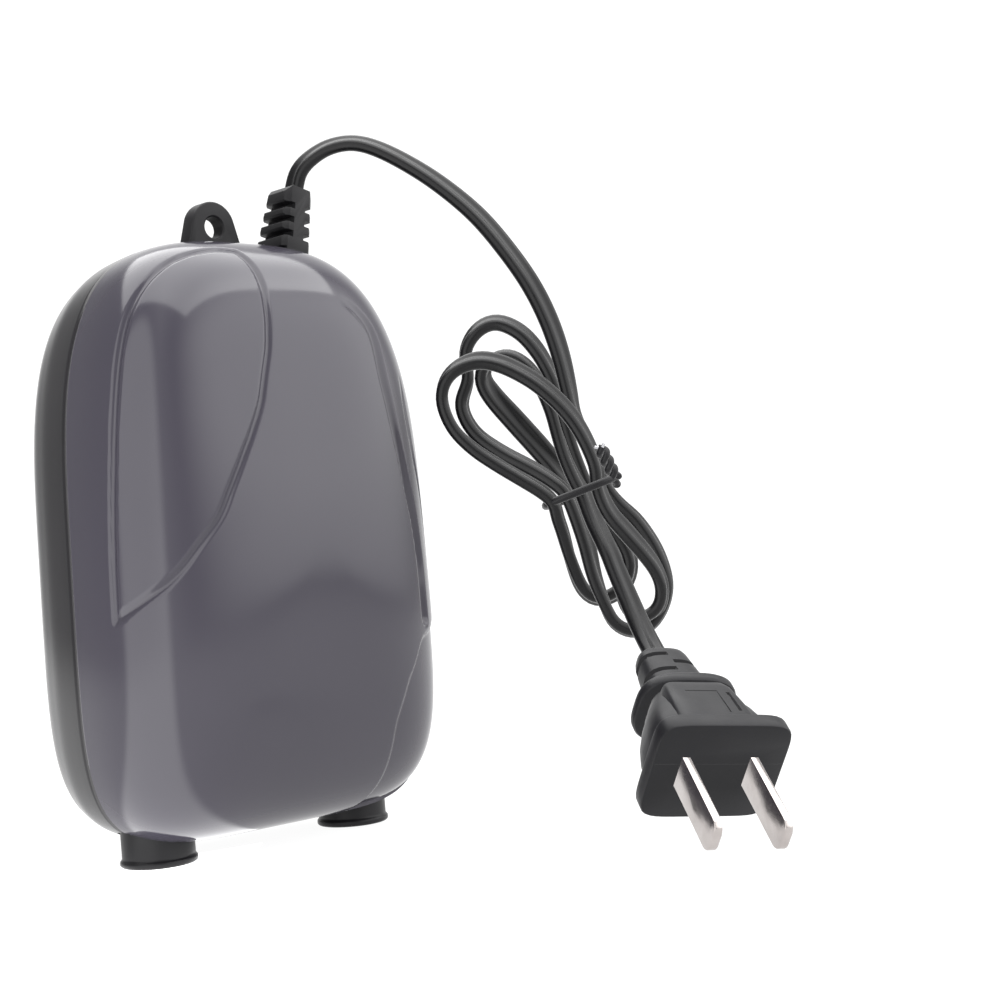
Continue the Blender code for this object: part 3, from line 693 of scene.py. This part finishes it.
def block(low, high, matrix=None):
    """A box between two corners."""
    shape = bmesh.new()
    bmesh.ops.create_cube(shape, size=1)
    size = [(b - a) * MM for a, b in zip(low, high)]
    middle = [(a + b) / 2 * MM for a, b in zip(low, high)]
    bmesh.ops.scale(shape, vec=size, verts=shape.verts)
    bmesh.ops.translate(shape, vec=middle, verts=shape.verts)
    mesh = mesh_of(shape)
    return moved(mesh, matrix) if matrix else mesh


def rod(start, end, radius, segments=48):
    """A round bar between two points."""
    run = Vector(end) - Vector(start)
    turn = run.to_track_quat("Z", "Y").to_matrix().to_4x4()
    place = Matrix.Translation((Vector(start) + Vector(end)) / 2 * MM) @ turn
    shape = bmesh.new()
    bmesh.ops.create_cone(
        shape,
        cap_ends=True,
        segments=segments,
        radius1=radius * MM,
        radius2=radius * MM,
        depth=run.length * MM,
        matrix=place,
    )
    return mesh_of(shape)


def spun(profile, place, toward, ring=False, around=64):
    """Turns (radius, height) points round the axis that leaves place toward a direction."""
    turn = Vector(toward).to_track_quat("Z", "Y").to_matrix().to_4x4()
    angles = round_turns(around)
    rings = []
    for r, h in profile:
        r = max(r, LEAST_RADIUS)
        rings.append(np.stack([r * np.cos(angles), r * np.sin(angles), np.full(around, h)], 1))
    return moved(stack(rings, close=ring), Matrix.Translation(Vector(place) * MM) @ turn)


def eased(points, count):
    """Points on the smooth curve (Catmull-Rom) through a list of points, count to each span."""
    knots = np.array(points, float)
    knots = np.concatenate([[2 * knots[0] - knots[1]], knots, [2 * knots[-1] - knots[-2]]])
    t = np.linspace(0, 1, count, endpoint=False)[:, None]
    spans = []
    for a, b, c, d in zip(knots, knots[1:], knots[2:], knots[3:]):
        bend = (2 * a - 5 * b + 4 * c - d) * t**2 + (3 * b - a - 3 * c + d) * t**3
        spans.append(b + ((c - a) * t + bend) / 2)
    spans.append(knots[-2:-1])
    return np.concatenate(spans)


def softened(profile, radius):
    """A profile with each inner corner replaced by a short arc-like bend."""
    points = [np.array(p, float) for p in profile]
    result = [points[0]]
    for before, corner, after in zip(points, points[1:], points[2:]):
        back, ahead = before - corner, after - corner
        reach = min(radius, 0.45 * np.linalg.norm(back), 0.45 * np.linalg.norm(ahead))
        start = corner + back / np.linalg.norm(back) * reach
        end = corner + ahead / np.linalg.norm(ahead) * reach
        for t in np.arange(5) / 4:
            result.append((1 - t) ** 2 * start + 2 * t * (1 - t) * corner + t**2 * end)
    return [*result, points[-1]]


def arc(cx, cy, radius, start, end, count):
    """Points on an arc from one angle to another, in degrees."""
    angles = np.radians(np.linspace(start, end, count + 1))
    return [(cx + radius * cos(a), cy + radius * sin(a)) for a in angles]


def slab(outline, low, high, matrix):
    """A flat outline in the plane's own x and y, from one height to another."""
    ring = np.array(outline, float)
    layers = [np.column_stack([ring, np.full(len(ring), h)]) for h in (low, high)]
    return moved(stack(layers), matrix)


def upright():
    """The frame whose x and y run along X and Z, and whose z runs to -Y."""
    return Matrix.Rotation(radians(90), 4, "X")


# ---------------------------------------------------------------- casing


def outline_at(turn, width, length):
    """X and Z of the casing's outline at an angle, given its half width and half length there."""
    across, along = np.cos(turn), np.sin(turn)
    power = np.where(along > 0, ROUND_TOP, ROUND_BOTTOM)
    reach = squarish(turn, power)
    return width * reach * across * (1 - TAPER * reach * along), CENTRE_Z + length * reach * along


def cover_at(turn, rise, inset=0.0):
    """The point of the cover at a turn round its outline and a rise up its section, both in radians."""
    px, pz, py = COVER_POWERS
    width = (HALF_WIDTH - inset) * np.cos(rise) ** px
    length = (HALF_LENGTH - inset) * np.cos(rise) ** pz
    x, z = outline_at(turn, width, length)
    y = SEAM_Y - GAP / 2 - (COVER_DEPTH - inset) * np.sin(rise) ** py
    return np.stack([x, y, z], -1)


def cover_line(points):
    """A drawn line's points on the cover, close together."""
    line = np.radians(eased(points, LINE_STEPS))
    return cover_at(line[:, 0], line[:, 1])


def distance(points, line):
    """How far each point is from a line of points."""
    best = np.full(len(points), np.inf)
    for start, end in zip(line[:-1], line[1:]):
        run = end - start
        part = np.clip((points - start) @ run / max(run @ run, TINY), 0, 1)
        off = points - start - part[:, None] * run
        best = np.minimum(best, np.einsum("ij,ij->i", off, off))
    return np.sqrt(best)


def inside(turn, rise, corners):
    """Whether each place on the cover is inside a closed outline of (turn, rise) corners."""
    hit = np.zeros(len(turn), bool)
    for (x0, y0), (x1, y1) in zip(corners, np.roll(corners, -1, axis=0)):
        crosses = (y0 > rise) != (y1 > rise)
        at = x0 + (rise - y0) * (x1 - x0) / np.where(y1 == y0, TINY, y1 - y0)
        hit ^= crosses & (turn < at)
    return hit


def groove(points, line, half_width, deep):
    """How deep a groove along a line on the cover lies at each point."""
    gap = distance(points, line)
    return deep * np.clip(1 - (gap / half_width) ** 2, 0, 1) ** 1.5


def run_out(turned, start, over):
    """How much of a groove is left at each place, as it runs out round the outline."""
    return np.clip((start - turned) / over, 0, 1)


def cover_relief(turn, rise, points):
    """How far in the cover's skin lies at each point: leaf grooves, crease, edge and side panel."""
    leaf = np.concatenate([cover_line(LEAF_OUTER), cover_line(LEAF_INNER)[::-1]])
    relief = groove(points, leaf, *LEAF_GROOVE)
    turned = np.degrees(turn)
    signed = np.where(turned > 180, turned - 360, turned)
    crease = groove(points, cover_line(RIGHT_CREASE), *CREASE_GROOVE)
    relief = np.maximum(relief, run_out(signed, *CREASE_FADE) * crease)
    edge = groove(points, cover_line(RIGHT_EDGE), *EDGE_GROOVE)
    relief = np.maximum(relief, run_out(signed, *EDGE_FADE) * edge)
    panel = eased(SIDE_PANEL, LINE_STEPS)
    border = distance(points, cover_at(*np.radians(np.vstack([panel, panel[:1]])).T))
    within = inside(signed, np.degrees(rise), panel)
    step = np.clip(0.5 + np.where(within, border, -border) / PANEL_SLOPE, 0, 1)
    return np.maximum(relief, PANEL_DROP * step * step * (3 - 2 * step))


def even_rises(count):
    """Rises from the seam to the crown, evenly spread along the cover's section."""
    near_seam = np.radians(np.linspace(0, 1, 400) ** 3 * 20)
    above = np.radians(np.linspace(20.05, 89.6, 1600))
    fine = np.concatenate([near_seam, above])
    line = cover_at(np.full(len(fine), pi), fine)
    run = run_along(line)
    return np.interp(np.linspace(0, run[-1], count), run, fine)


def shared_openings():
    """Cutters for the holes that both halves share: the outlets, the lug's slot and the gland's."""
    tools = []
    for _, sign in SIDES:
        x = sign * OUTLET_X
        tools.append(rod((x, SEAM_Y, -5), (x, SEAM_Y, 14), OUTLET_BORE, 96))
    half_x = LUG_HALF + GAP
    tools.append(block((-half_x, LUG_Y[0] - GAP, TOP_Z - 4), (half_x, LUG_Y[1] + GAP, TOP_Z + 2)))
    half_x = GLAND_NECK + GAP
    half_y = GLAND_DEPTH / 2 + GAP
    tools.append(block((-half_x, -half_y, -6), (half_x, half_y, 2), gland_frame()))
    return tools


def shell(outer, inner):
    """A closed shell: an outer stack of rings, back from its rim into an inner stack."""
    return stack([*outer[::-1], *inner])


def cover_skin(turn, rise):
    """One ring of the cover's outer skin, pressed in along its normal by the relief."""
    rises = np.full_like(turn, rise)
    points = cover_at(turn, rises)
    ahead = cover_at(turn + NORMAL_STEP, rises) - points
    up = cover_at(turn, rises - NORMAL_STEP) - points
    normal = unit(np.cross(ahead, up))
    outward = np.sign(np.einsum("ij,ij->i", normal, points - (0, 0, CENTRE_Z)))
    relief = cover_relief(turn, rises, points)
    return points - normal * (outward * relief)[:, None]


def make_cover():
    turn = round_turns(COVER_AROUND)
    outer = [cover_at(turn, np.zeros_like(turn), RIM_INSET)]
    outer += [cover_skin(turn, rise) for rise in even_rises(COVER_RISE)[1:]]
    inner = [cover_at(turn, np.full_like(turn, radians(a)), WALL) for a in COVER_INSIDE]
    body = shell(outer, inner)
    for x, z in CASE_SCREWS:
        boss = rod((x, SEAM_Y - GAP / 2, z), (x, SEAM_Y - COVER_BOSS_DEPTH, z), COVER_BOSS)
        pilot = rod((x, SEAM_Y + 1, z), (x, SEAM_Y - COVER_PILOT_DEPTH, z), COVER_PILOT)
        body = combine(body, "UNION", boss)
        body = combine(body, "DIFFERENCE", pilot)
    body = combine(body, "DIFFERENCE", *shared_openings())
    return piece("cover_shell", body, "cover_plastic", "top_cover", angle=50)


def base_ring(turn, y, drawn_in):
    """One ring of the base at a depth, drawn in from the casing's full outline."""
    x, z = outline_at(turn, HALF_WIDTH - drawn_in, HALF_LENGTH - drawn_in)
    return np.stack([x, np.full_like(x, y), z], -1)


def intake_outline():
    """The four-lobed intake, in X and Z."""
    flower = []
    for quarter in range(4):
        toward = quarter * pi / 2
        cx, cz = INTAKE_SPREAD * cos(toward), INTAKE_SPREAD * sin(toward)
        flower += arc(cx, cz, INTAKE_LOBE, quarter * 90 - 100, quarter * 90 + 100, 16)
    return [(x, z + INTAKE_Z) for x, z in flower]


def make_base():
    turn = round_turns(BASE_AROUND)
    start = SEAM_Y + GAP / 2
    side = np.vstack([eased(BASE_WALL[:-1], 6), BASE_CORNER])
    outer = [base_ring(turn, start, RIM_INSET)]
    outer += [base_ring(turn, start + (BASE_DEPTH - GAP / 2) * p, d) for p, d in side[1:]]
    inner = [base_ring(turn, start + (BASE_DEPTH - GAP / 2 - WALL) * p, WALL + d) for p, d in BASE_WALL]
    body = shell(outer, inner)
    for x, z in CASE_SCREWS:
        body = combine(body, "UNION", rod((x, start, z), (x, FLOOR_IN_Y + 1, z), BASE_BOSS))
        body = combine(body, "DIFFERENCE", spun(SCREW_RECESS, (x, SEAM_Y, z), (0, 1, 0)))
    for x, z in FEET:
        body = combine(body, "DIFFERENCE", rod((x, FLOOR_IN_Y - 2, z), (x, FLOOR_Y + 2, z), FOOT_BORE))
    intake = slab(intake_outline(), -FLOOR_Y - 3, -FLOOR_IN_Y + 2, upright())
    body = combine(body, "DIFFERENCE", intake)
    body = combine(body, "DIFFERENCE", *shared_openings())
    return piece("base_case", body, "base_plastic", "base_shell", angle=40)


# ---------------------------------------------------------------- lug, gland, feet and outlets


def make_lug():
    crown = arc(0, TOP_Z + LUG_HEIGHT - LUG_RADIUS, LUG_RADIUS, 12, 168, 28)
    right = [(LUG_HALF, TOP_Z - LUG_SEAT), (LUG_HALF, TOP_Z + GAP), (LUG_SHOULDER, TOP_Z + GAP)]
    flange = [(-LUG_FLANGE, TOP_Z - LUG_SEAT), (-LUG_FLANGE, TOP_Z - LUG_ROOT)]
    flange += [(-x, z) for x, z in reversed(flange)]
    left = [(-x, z) for x, z in reversed(right)]
    plate = slab(right + crown + left + flange, -LUG_Y[1], -LUG_Y[0], upright())
    plate = rounded(plate, LUG_EDGE, 3, 50)
    middle = (LUG_Y[0] + LUG_Y[1]) / 2
    half = (LUG_Y[1] - LUG_Y[0]) / 2
    flare = LUG_HOLE + LUG_CHAMFER
    hole = [(flare + 1, half + 1), (flare, half), (LUG_HOLE, half - LUG_CHAMFER)]
    hole += [(r, -h) for r, h in reversed(hole)]
    plate = combine(plate, "DIFFERENCE", spun(hole, (0, middle, LUG_HOLE_Z), (0, 1, 0), around=48))
    return piece("lug", plate, "rubber", "hanging_lug", angle=30)


def gland_frame():
    """The gland's own frame, on the casing's upper end, with Z along the gland."""
    return Matrix.Translation(Vector(GLAND_PLACE) * MM) @ Matrix.Rotation(GLAND_TILT, 4, "Y")


def gland_side():
    """The right side of the gland's comb of fins, from its foot up."""
    fin = GLAND_HALF
    foot, shelf, neck = GLAND_FOOT
    across, along = FIN_CHAMFER
    side = [(fin, foot), (fin, shelf), (GLAND_NECK, shelf), (GLAND_NECK, neck), (fin, neck)]
    for i in range(GLAND_SLOTS):
        low = GLAND_FIRST + GLAND_PITCH * i
        high = low + GLAND_SLOT
        side += [(fin, low - along), (fin - across, low), (GLAND_WEB, low), (GLAND_WEB, high)]
        side += [(fin - across, high), (fin, high + along)]
    across, along = CROWN_CHAMFER
    return side + [(fin, GLAND_HEIGHT - along), (fin - across, GLAND_HEIGHT)]


def make_gland():
    side = gland_side()
    outline = side + [(-x, z) for x, z in reversed(side)]
    comb = slab(outline, *COMB_REACH, upright())
    taper = []
    cut = GLAND_CORNER
    for z, half, near, far in GLAND_TAPER:
        corners = [(half, far - cut), (half - cut, far), (cut - half, far), (-half, far - cut)]
        corners += [(-half, near + cut), (cut - half, near), (half - cut, near), (half, near + cut)]
        taper.append(np.array([(x, y, z) for x, y in corners]))
    comb = combine(comb, "INTERSECT", stack(taper))
    comb = rounded(comb, FINE_EDGE, 2, 25)
    return piece("gland", moved(comb, gland_frame()), "rubber", "cord_gland", angle=30)


def make_feet():
    for i, (x, z) in enumerate(FEET, 1):
        mesh = spun(softened(FOOT, FOOT_CORNER), (x, FLOOR_Y, z), (0, 1, 0))
        piece(f"foot_{i}", mesh, "rubber", f"rubber_foot_{i}")


def make_outlets():
    for side, sign in SIDES:
        place = (sign * OUTLET_X, SEAM_Y, 0)
        mesh = spun(softened(COLLAR, COLLAR_CORNER)[:-1], place, (0, 0, 1), ring=True, around=96)
        piece(f"collar_{side}", mesh, "satin_black", f"outlet_collar_{side}")
        mesh = spun(softened(NOZZLE, NOZZLE_CORNER)[:-1], place, (0, 0, 1), ring=True, around=48)
        piece(f"nozzle_{side}", mesh, "satin_black", f"outlet_nozzle_{side}")


# ---------------------------------------------------------------- lead, tie and plug


def hank_frame():
    """The frame that the cord's route is given in."""
    turn = Matrix.Rotation(HANK_TURN, 4, "Z") @ Matrix.Rotation(HANK_TILT, 4, "Y")
    return Matrix.Translation(Vector(HANK_PLACE) * MM) @ turn


def settled(points):
    """Eases strands of the hank away from each other where they would lie in each other."""
    points = points.copy()
    index = np.arange(len(points))
    far = np.abs(index[:, None] - index[None, :]) > STRAND_NEAR
    for _ in range(STRAND_ROUNDS):
        gap = points[:, None, :3] - points[None, :, :3]
        size = np.linalg.norm(gap, axis=2) + 1e-6
        near = (size < STRAND_GAP) & far
        near[:FREE_STEPS] = False
        strength = np.where(near, STRAND_GAP - size, 0) * STRAND_PUSH
        push = (gap / size[..., None] * strength[..., None]).sum(1)
        smooth = push.copy()
        smooth[2:-2] = (push[:-4] + 2 * push[1:-3] + 3 * push[2:-2] + 2 * push[3:-1] + push[4:]) / 9
        points[:, :3] += smooth
    for _ in range(2):
        points[1:-1] = (points[:-2] + 2 * points[1:-1] + points[2:]) / 4
    return points


def cord_path():
    """The lead's line, the way it runs and the way its flat width lies, in the hank's frame and in mm."""
    knots = LEAD_ROUTE + LOWER_BIG + UPPER_BACK + LOWER_LEFT
    knots += UPPER_FRONT + LOWER_INNER + UPPER_MIDDLE + TAIL_ROUTE
    fine = eased(knots, CORD_EASING)
    run = run_along(fine[:, :3])
    even = np.linspace(0, run[-1], round(run[-1] / CORD_STEP))
    line = np.stack([np.interp(even, run, fine[:, k]) for k in range(4)], 1)
    line = settled(line)
    ahead = unit(np.gradient(line[:, :3], axis=0))
    beside = unit(np.cross((0, 1.0, 0), ahead))
    out = np.cross(ahead, beside)
    roll = np.radians(line[:, 3])[:, None]
    width = beside * np.cos(roll) + out * np.sin(roll)
    return line[:, :3], ahead, width


def cord_section():
    """The twin cord's outline: two round cores side by side with a shallow web between them."""
    turns = np.radians(np.linspace(-CORE_ARC, CORE_ARC, 13))
    right = [(CORD_LOBE + CORD_LOBE * cos(a), CORD_LOBE * sin(a)) for a in turns]
    left = [(-x, -y) for x, y in right]
    return np.array(right + left)


def make_lead():
    """The lead, and the points that it follows, in metres."""
    line, ahead, width = cord_path()
    thick = np.cross(ahead, width)
    section = cord_section()
    rings = []
    for point, w, t in zip(line, width, thick):
        rings.append(point + np.outer(section[:, 0], w) + np.outer(section[:, 1], t))
    place = hank_frame()
    mesh = moved(stack(rings), place)
    lead = piece("lead", mesh, "cord_pvc", "cord_lead", "cord_hank", "cord_tail", angle=60)
    path = [place @ Vector(p * MM) for p in line]
    return lead, path


def wire(points, radius):
    """A round wire along points, as a mesh."""
    points = np.array(points, float)
    ahead = unit(np.gradient(points, axis=0))
    side = unit(np.cross(ahead, WIRE_SIDE))
    other = np.cross(ahead, side)
    angles = round_turns(12)
    rings = []
    for point, s, o in zip(points, side, other):
        rings.append(point + radius * (np.outer(np.cos(angles), s) + np.outer(np.sin(angles), o)))
    return stack(rings)


def tie_loop():
    """The tie's wire once round the hank's waist, from one end to the other."""
    turns = np.radians(np.linspace(*TIE_TURNS, TIE_STEPS))
    reach = squarish(turns, 3)
    lift = np.linspace(-TIE_LIFT, TIE_LIFT, TIE_STEPS)
    return np.stack([TIE_HALF[0] * reach * np.cos(turns), TIE_HALF[1] * reach * np.sin(turns), lift], 1)


def tie_end(first, phase):
    """One end of the tie's wire, from the loop's end into the twist."""
    up = unit(np.array(TWIST_UP))
    side = unit(np.cross(up, (0, 1, 0)))
    other = np.cross(up, side)
    t = np.linspace(0, 1, 60)
    angle = phase + t * TWIST_ANGLE
    turned = np.outer(np.cos(angle), side) + np.outer(np.sin(angle), other)
    helix = np.array(TWIST_START) + np.outer(t * TWIST_LENGTH, up) + TWIST_RADIUS * turned
    bend = (first + helix[0]) / 2 + (0.3, 0, 0)
    joined = eased([first, bend, helix[0], helix[4]], 6)
    return np.vstack([joined[:14], helix[4:]])


def merged(meshes):
    """One mesh out of several."""
    shape = bmesh.new()
    for mesh in meshes:
        shape.from_mesh(mesh)
    return mesh_of(shape)


def make_tie():
    """The wire tie: a loop round the hank's waist, its two ends twisted together and trimmed."""
    around = hank_frame() @ Matrix.Rotation(TIE_TURN, 4, "Y")
    loop = tie_loop()
    ends = [tie_end(loop[0], 0), tie_end(loop[-1], pi)]
    cover = merged([wire(loop, TIE_WIRE), *[wire(end, TIE_TWIST_WIRE) for end in ends]])
    tie = piece("tie", moved(cover, around), "satin_black", "cord_tie", angle=50)
    tips = []
    for end in ends:
        way = unit(end[-1] - end[-3])
        tips.append(wire([end[-1] + way * step for step in CORE_STEPS], TIE_CORE))
    core = piece("tie_core", moved(merged(tips), around), "steel", angle=50)
    return tie, core


def plug_frame():
    """The plug's own frame: X across its blades, Z the way that they point."""
    aim, across = Vector(PLUG_AIM).normalized(), Vector(PLUG_ACROSS)
    side = (across - across.dot(aim) * aim).normalized()
    matrix = Matrix((side, aim.cross(side), aim)).transposed().to_4x4()
    matrix.translation = Vector(PLUG_PLACE) * MM
    return matrix


def loft(sections, power):
    """A solid through rounded sections, each (height, half width, half depth)."""
    angles = (np.arange(LOFT_AROUND) + 0.5) * 2 * pi / LOFT_AROUND
    reach = squarish(angles, power)
    rings = []
    for along, half_width, half_depth in sections:
        x, y = half_width * reach * np.cos(angles), half_depth * reach * np.sin(angles)
        rings.append(np.stack([x, y, np.full(LOFT_AROUND, along)], 1))
    return stack(rings)


def relief_slots():
    """Cutters for the slots across the plug's strain relief, two on each of its four corners."""
    tools = []
    for side, start in RELIEF_SLOTS.items():
        for height in (-1, 1):
            for step in range(2):
                low = start + RELIEF_PITCH * step
                x0, x1 = sorted((side * 0.1, side * 8))
                core = RELIEF_CORE + RELIEF_FLARE * (32 + low)
                y0, y1 = sorted((height * core, height * 9))
                tools.append(block((x0, y0, low - RELIEF_SLOT), (x1, y1, low + RELIEF_SLOT)))
                x0, x1 = sorted((side * RELIEF_THROUGH, side * 8))
                half = RELIEF_SLOT + 0.01
                tools.append(block((x0, -9, low - half), (x1, 9, low + half)))
    return tools


def plug_mesh():
    """The plug's moulded body, in its own frame."""
    body = loft(PLUG_FACE, FACE_ROUND)
    waist = loft(PLUG_WAIST, WAIST_ROUND)
    flange = loft(PLUG_FLANGE, FLANGE_ROUND)
    body = combine(body, "UNION", waist, flange, loft(PLUG_RELIEF, RELIEF_ROUND))
    body = combine(body, "UNION", loft(PLUG_PANEL, PANEL_ROUND))
    tools = relief_slots()
    slope = Matrix.Translation(Vector(PANEL_PLACE) * MM) @ Matrix.Rotation(PANEL_TILT, 4, "X")
    tools += [block(low, high, slope) for low, high in PANEL_RECESSES]
    tools.append(block(*FACE_LINE))
    half_x, half_y = BLADE_SIZE[0] / 2 + BLADE_FIT, BLADE_SIZE[1] / 2 + BLADE_FIT
    for _, sign in SIDES:
        x = sign * BLADE_SPACING / 2
        tools.append(block((x - half_x, -half_y, -BLADE_ROOT - GAP), (x + half_x, half_y, 2)))
    return combine(body, "DIFFERENCE", *tools)


def make_blade(name, sign):
    """One flat blade, with its tip's corners rounded."""
    thick, wide, long = BLADE_SIZE
    half, tip = wide / 2, BLADE_TIP
    outline = [(-half, -BLADE_ROOT), (half, -BLADE_ROOT), (half, long - tip)]
    outline += arc(half - tip, long - tip, tip, 8, 82, 8)
    outline += arc(tip - half, long - tip, tip, 98, 172, 8)
    outline += [(-half, long - tip)]
    on_edge = Matrix.Rotation(radians(90), 4, "Z") @ Matrix.Rotation(radians(90), 4, "X")
    place = Matrix.Translation((sign * BLADE_SPACING / 2 * MM, 0, 0)) @ on_edge
    mesh = rounded(slab(outline, -thick / 2, thick / 2, place), FINE_EDGE, 3, 40)
    mesh = moved(mesh, plug_frame())
    return piece(f"blade_{name}", mesh, "brass", f"plug_blade_{name}", angle=30)


def make_plug():
    body = piece("plug", moved(plug_mesh(), plug_frame()), "plug_pvc", "plug_body", angle=32)
    return body, [make_blade(name, sign) for name, sign in SIDES]


# ---------------------------------------------------------------- the rest of the frame


CAD_FINISH = {
    "case_screw": "steel",
    "intake_filter": "felt",
    "core": "steel",
    "core_laminations": "steel",
    "coil_bobbin": "nylon",
    "coil_winding": "copper",
    "swing_arm": "nylon",
    "arm_magnet": "steel",
    "pivot_pin": "steel",
    "bellows_disc": "nylon",
    "bellows": "rubber",
    "air_chamber": "nylon",
    "valve_cover": "nylon",
    "inlet_flap": "rubber",
    "outlet_flap": "rubber",
    "air_hose": "rubber",
    "lead_wire": "cord_pvc",
    "core_screw": "steel",
}


def finish_frame():
    """Gives every carried-over CAD node its material, by the longest name that it starts with."""
    for name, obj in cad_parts.items():
        kinds = [kind for kind in CAD_FINISH if name.startswith(kind)]
        finish = MATERIALS[CAD_FINISH[max(kinds, key=len)]] if kinds else SATIN
        if not obj.material_slots:
            obj.data.materials.append(finish)
        for slot in obj.material_slots:
            slot.material = finish


# ---------------------------------------------------------------- stage, lights and camera


def vector_step(tree, operation, vector, by=None):
    """One step of vector arithmetic on a node's output."""
    step = tree.nodes.new("ShaderNodeVectorMath")
    step.operation = operation
    tree.links.new(vector, step.inputs[0])
    if by:
        step.inputs[1].default_value = by
    return step.outputs["Value" if operation == "DOT_PRODUCT" else "Vector"]


def arithmetic(tree, operation, first, second=None):
    """One step of arithmetic on one or two outputs."""
    step = tree.nodes.new("ShaderNodeMath")
    step.operation = operation
    tree.links.new(first, step.inputs[0])
    if second:
        tree.links.new(second, step.inputs[1])
    return step.outputs["Value"]


def spread(tree, value, reach, strength):
    """Maps a value's reach onto two strengths, with soft ends."""
    span = tree.nodes.new("ShaderNodeMapRange")
    span.interpolation_type = "SMOOTHSTEP"
    for key, number in zip(("From Min", "From Max", "To Min", "To Max"), reach + strength):
        span.inputs[key].default_value = number
    tree.links.new(value, span.inputs["Value"])
    return span.outputs["Result"]


def glow(tree, vector, toward, reach, strength):
    """A soft-edged light over the part of the stage that lies toward a direction."""
    return spread(tree, vector_step(tree, "DOT_PRODUCT", vector, toward), reach, strength)


def stage_material():
    """White paper that glows: behind the pump, at its right, and in a strip at its left."""
    material = bpy.data.materials.new("paper")
    material.use_nodes = True
    tree = material.node_tree
    shader = tree.nodes["Principled BSDF"]
    shader.inputs["Base Color"].default_value = PAPER_COLOUR
    shader.inputs["Roughness"].default_value = PAPER_ROUGHNESS
    shader.inputs["Specular IOR Level"].default_value = 0.0
    shader.inputs["Emission Color"].default_value = WHITE
    place = tree.nodes.new("ShaderNodeTexCoord").outputs["Object"]
    ahead = vector_step(tree, "DOT_PRODUCT", place, AHEAD)
    aside = vector_step(tree, "DOT_PRODUCT", place, ASIDE)
    within = arithmetic(tree, "SUBTRACT", ahead, arithmetic(tree, "ABSOLUTE", aside))
    white = spread(tree, within, WEDGE_REACH, WEDGE_GLOW)
    right = glow(tree, place, RIGHT_WAY, RIGHT_REACH, RIGHT_GLOW)
    bearing = vector_step(tree, "NORMALIZE", vector_step(tree, "MULTIPLY", place, STRIP_SQUASH))
    strip = glow(tree, bearing, STRIP_WAY, STRIP_REACH, STRIP_GLOW)
    total = arithmetic(tree, "ADD", arithmetic(tree, "ADD", white, right), strip)
    tree.links.new(total, shader.inputs["Emission Strength"])
    return material


def make_stage():
    """A white floor that curves up into a wall all round, and closes overhead."""
    flat = STAGE_RADIUS - STAGE_BEND
    profile = [(1, 0), (600, 0), (flat, 0)]
    for a in np.radians(np.linspace(8, 90, STAGE_STEPS)):
        profile.append((flat + STAGE_BEND * sin(a), STAGE_BEND - STAGE_BEND * cos(a)))
    profile.append((STAGE_RADIUS, STAGE_WALL))
    for a in np.radians(np.linspace(10, 89.9, STAGE_STEPS)):
        profile.append((STAGE_RADIUS * cos(a), STAGE_WALL + STAGE_DOME * sin(a)))
    mesh = spun(profile, (0, 0, 0), (0, 0, 1), around=STAGE_AROUND)
    floor = bpy.data.objects.new("floor", mesh)
    mesh.materials.append(stage_material())
    mesh.shade_smooth()
    floor.location.z = -STAGE_DROP
    bpy.context.scene.collection.objects.link(floor)


def make_lights():
    light = bpy.data.lights.new("top_box", "AREA")
    light.shape = "RECTANGLE"
    light.size, light.size_y = LAMP_SIZE
    light.energy = LAMP_POWER
    lamp = bpy.data.objects.new("top_box", light)
    lamp.location = LAMP_PLACE
    way = Vector(LAMP_TARGET) - Vector(LAMP_PLACE)
    lamp.rotation_euler = way.to_track_quat("-Z", "Y").to_euler()
    lamp.visible_camera = False
    bpy.context.scene.collection.objects.link(lamp)
    world = bpy.data.worlds.new("studio")
    world.use_nodes = True
    background = world.node_tree.nodes["Background"]
    background.inputs["Color"].default_value = WHITE
    background.inputs["Strength"].default_value = WORLD_STRENGTH
    bpy.context.scene.world = world


def make_camera():
    camera = bpy.data.objects.new("camera", bpy.data.cameras.new("camera"))
    camera.data.lens = CAMERA_LENS
    camera.data.sensor_width = CAMERA_SENSOR
    camera.data.shift_y = CAMERA_SHIFT
    level = Matrix.Rotation(CAMERA_TURN, 4, "Z") @ Matrix.Rotation(radians(90), 4, "X")
    turn = level @ Matrix.Rotation(CAMERA_ROLL, 4, "Z")
    camera.matrix_world = Matrix.Translation(Vector(CAMERA_PLACE) * MM) @ turn
    bpy.context.scene.collection.objects.link(camera)
    bpy.context.scene.camera = camera


def main():
    make_camera()
    make_lights()
    make_stage()
    finish_frame()
    lead, path = make_lead()
    tie, core = make_tie()
    plug, blades = make_plug()
    # The glossy cover would mirror the hank and the plug as dark streaks across its middle.
    for part in (lead, tie, core, plug, *blades):
        part.visible_glossy = False
    make_cover()
    make_base()
    make_lug()
    make_gland()
    make_feet()
    make_outlets()


main()
bpy.context.scene.view_settings.view_transform = "Standard"
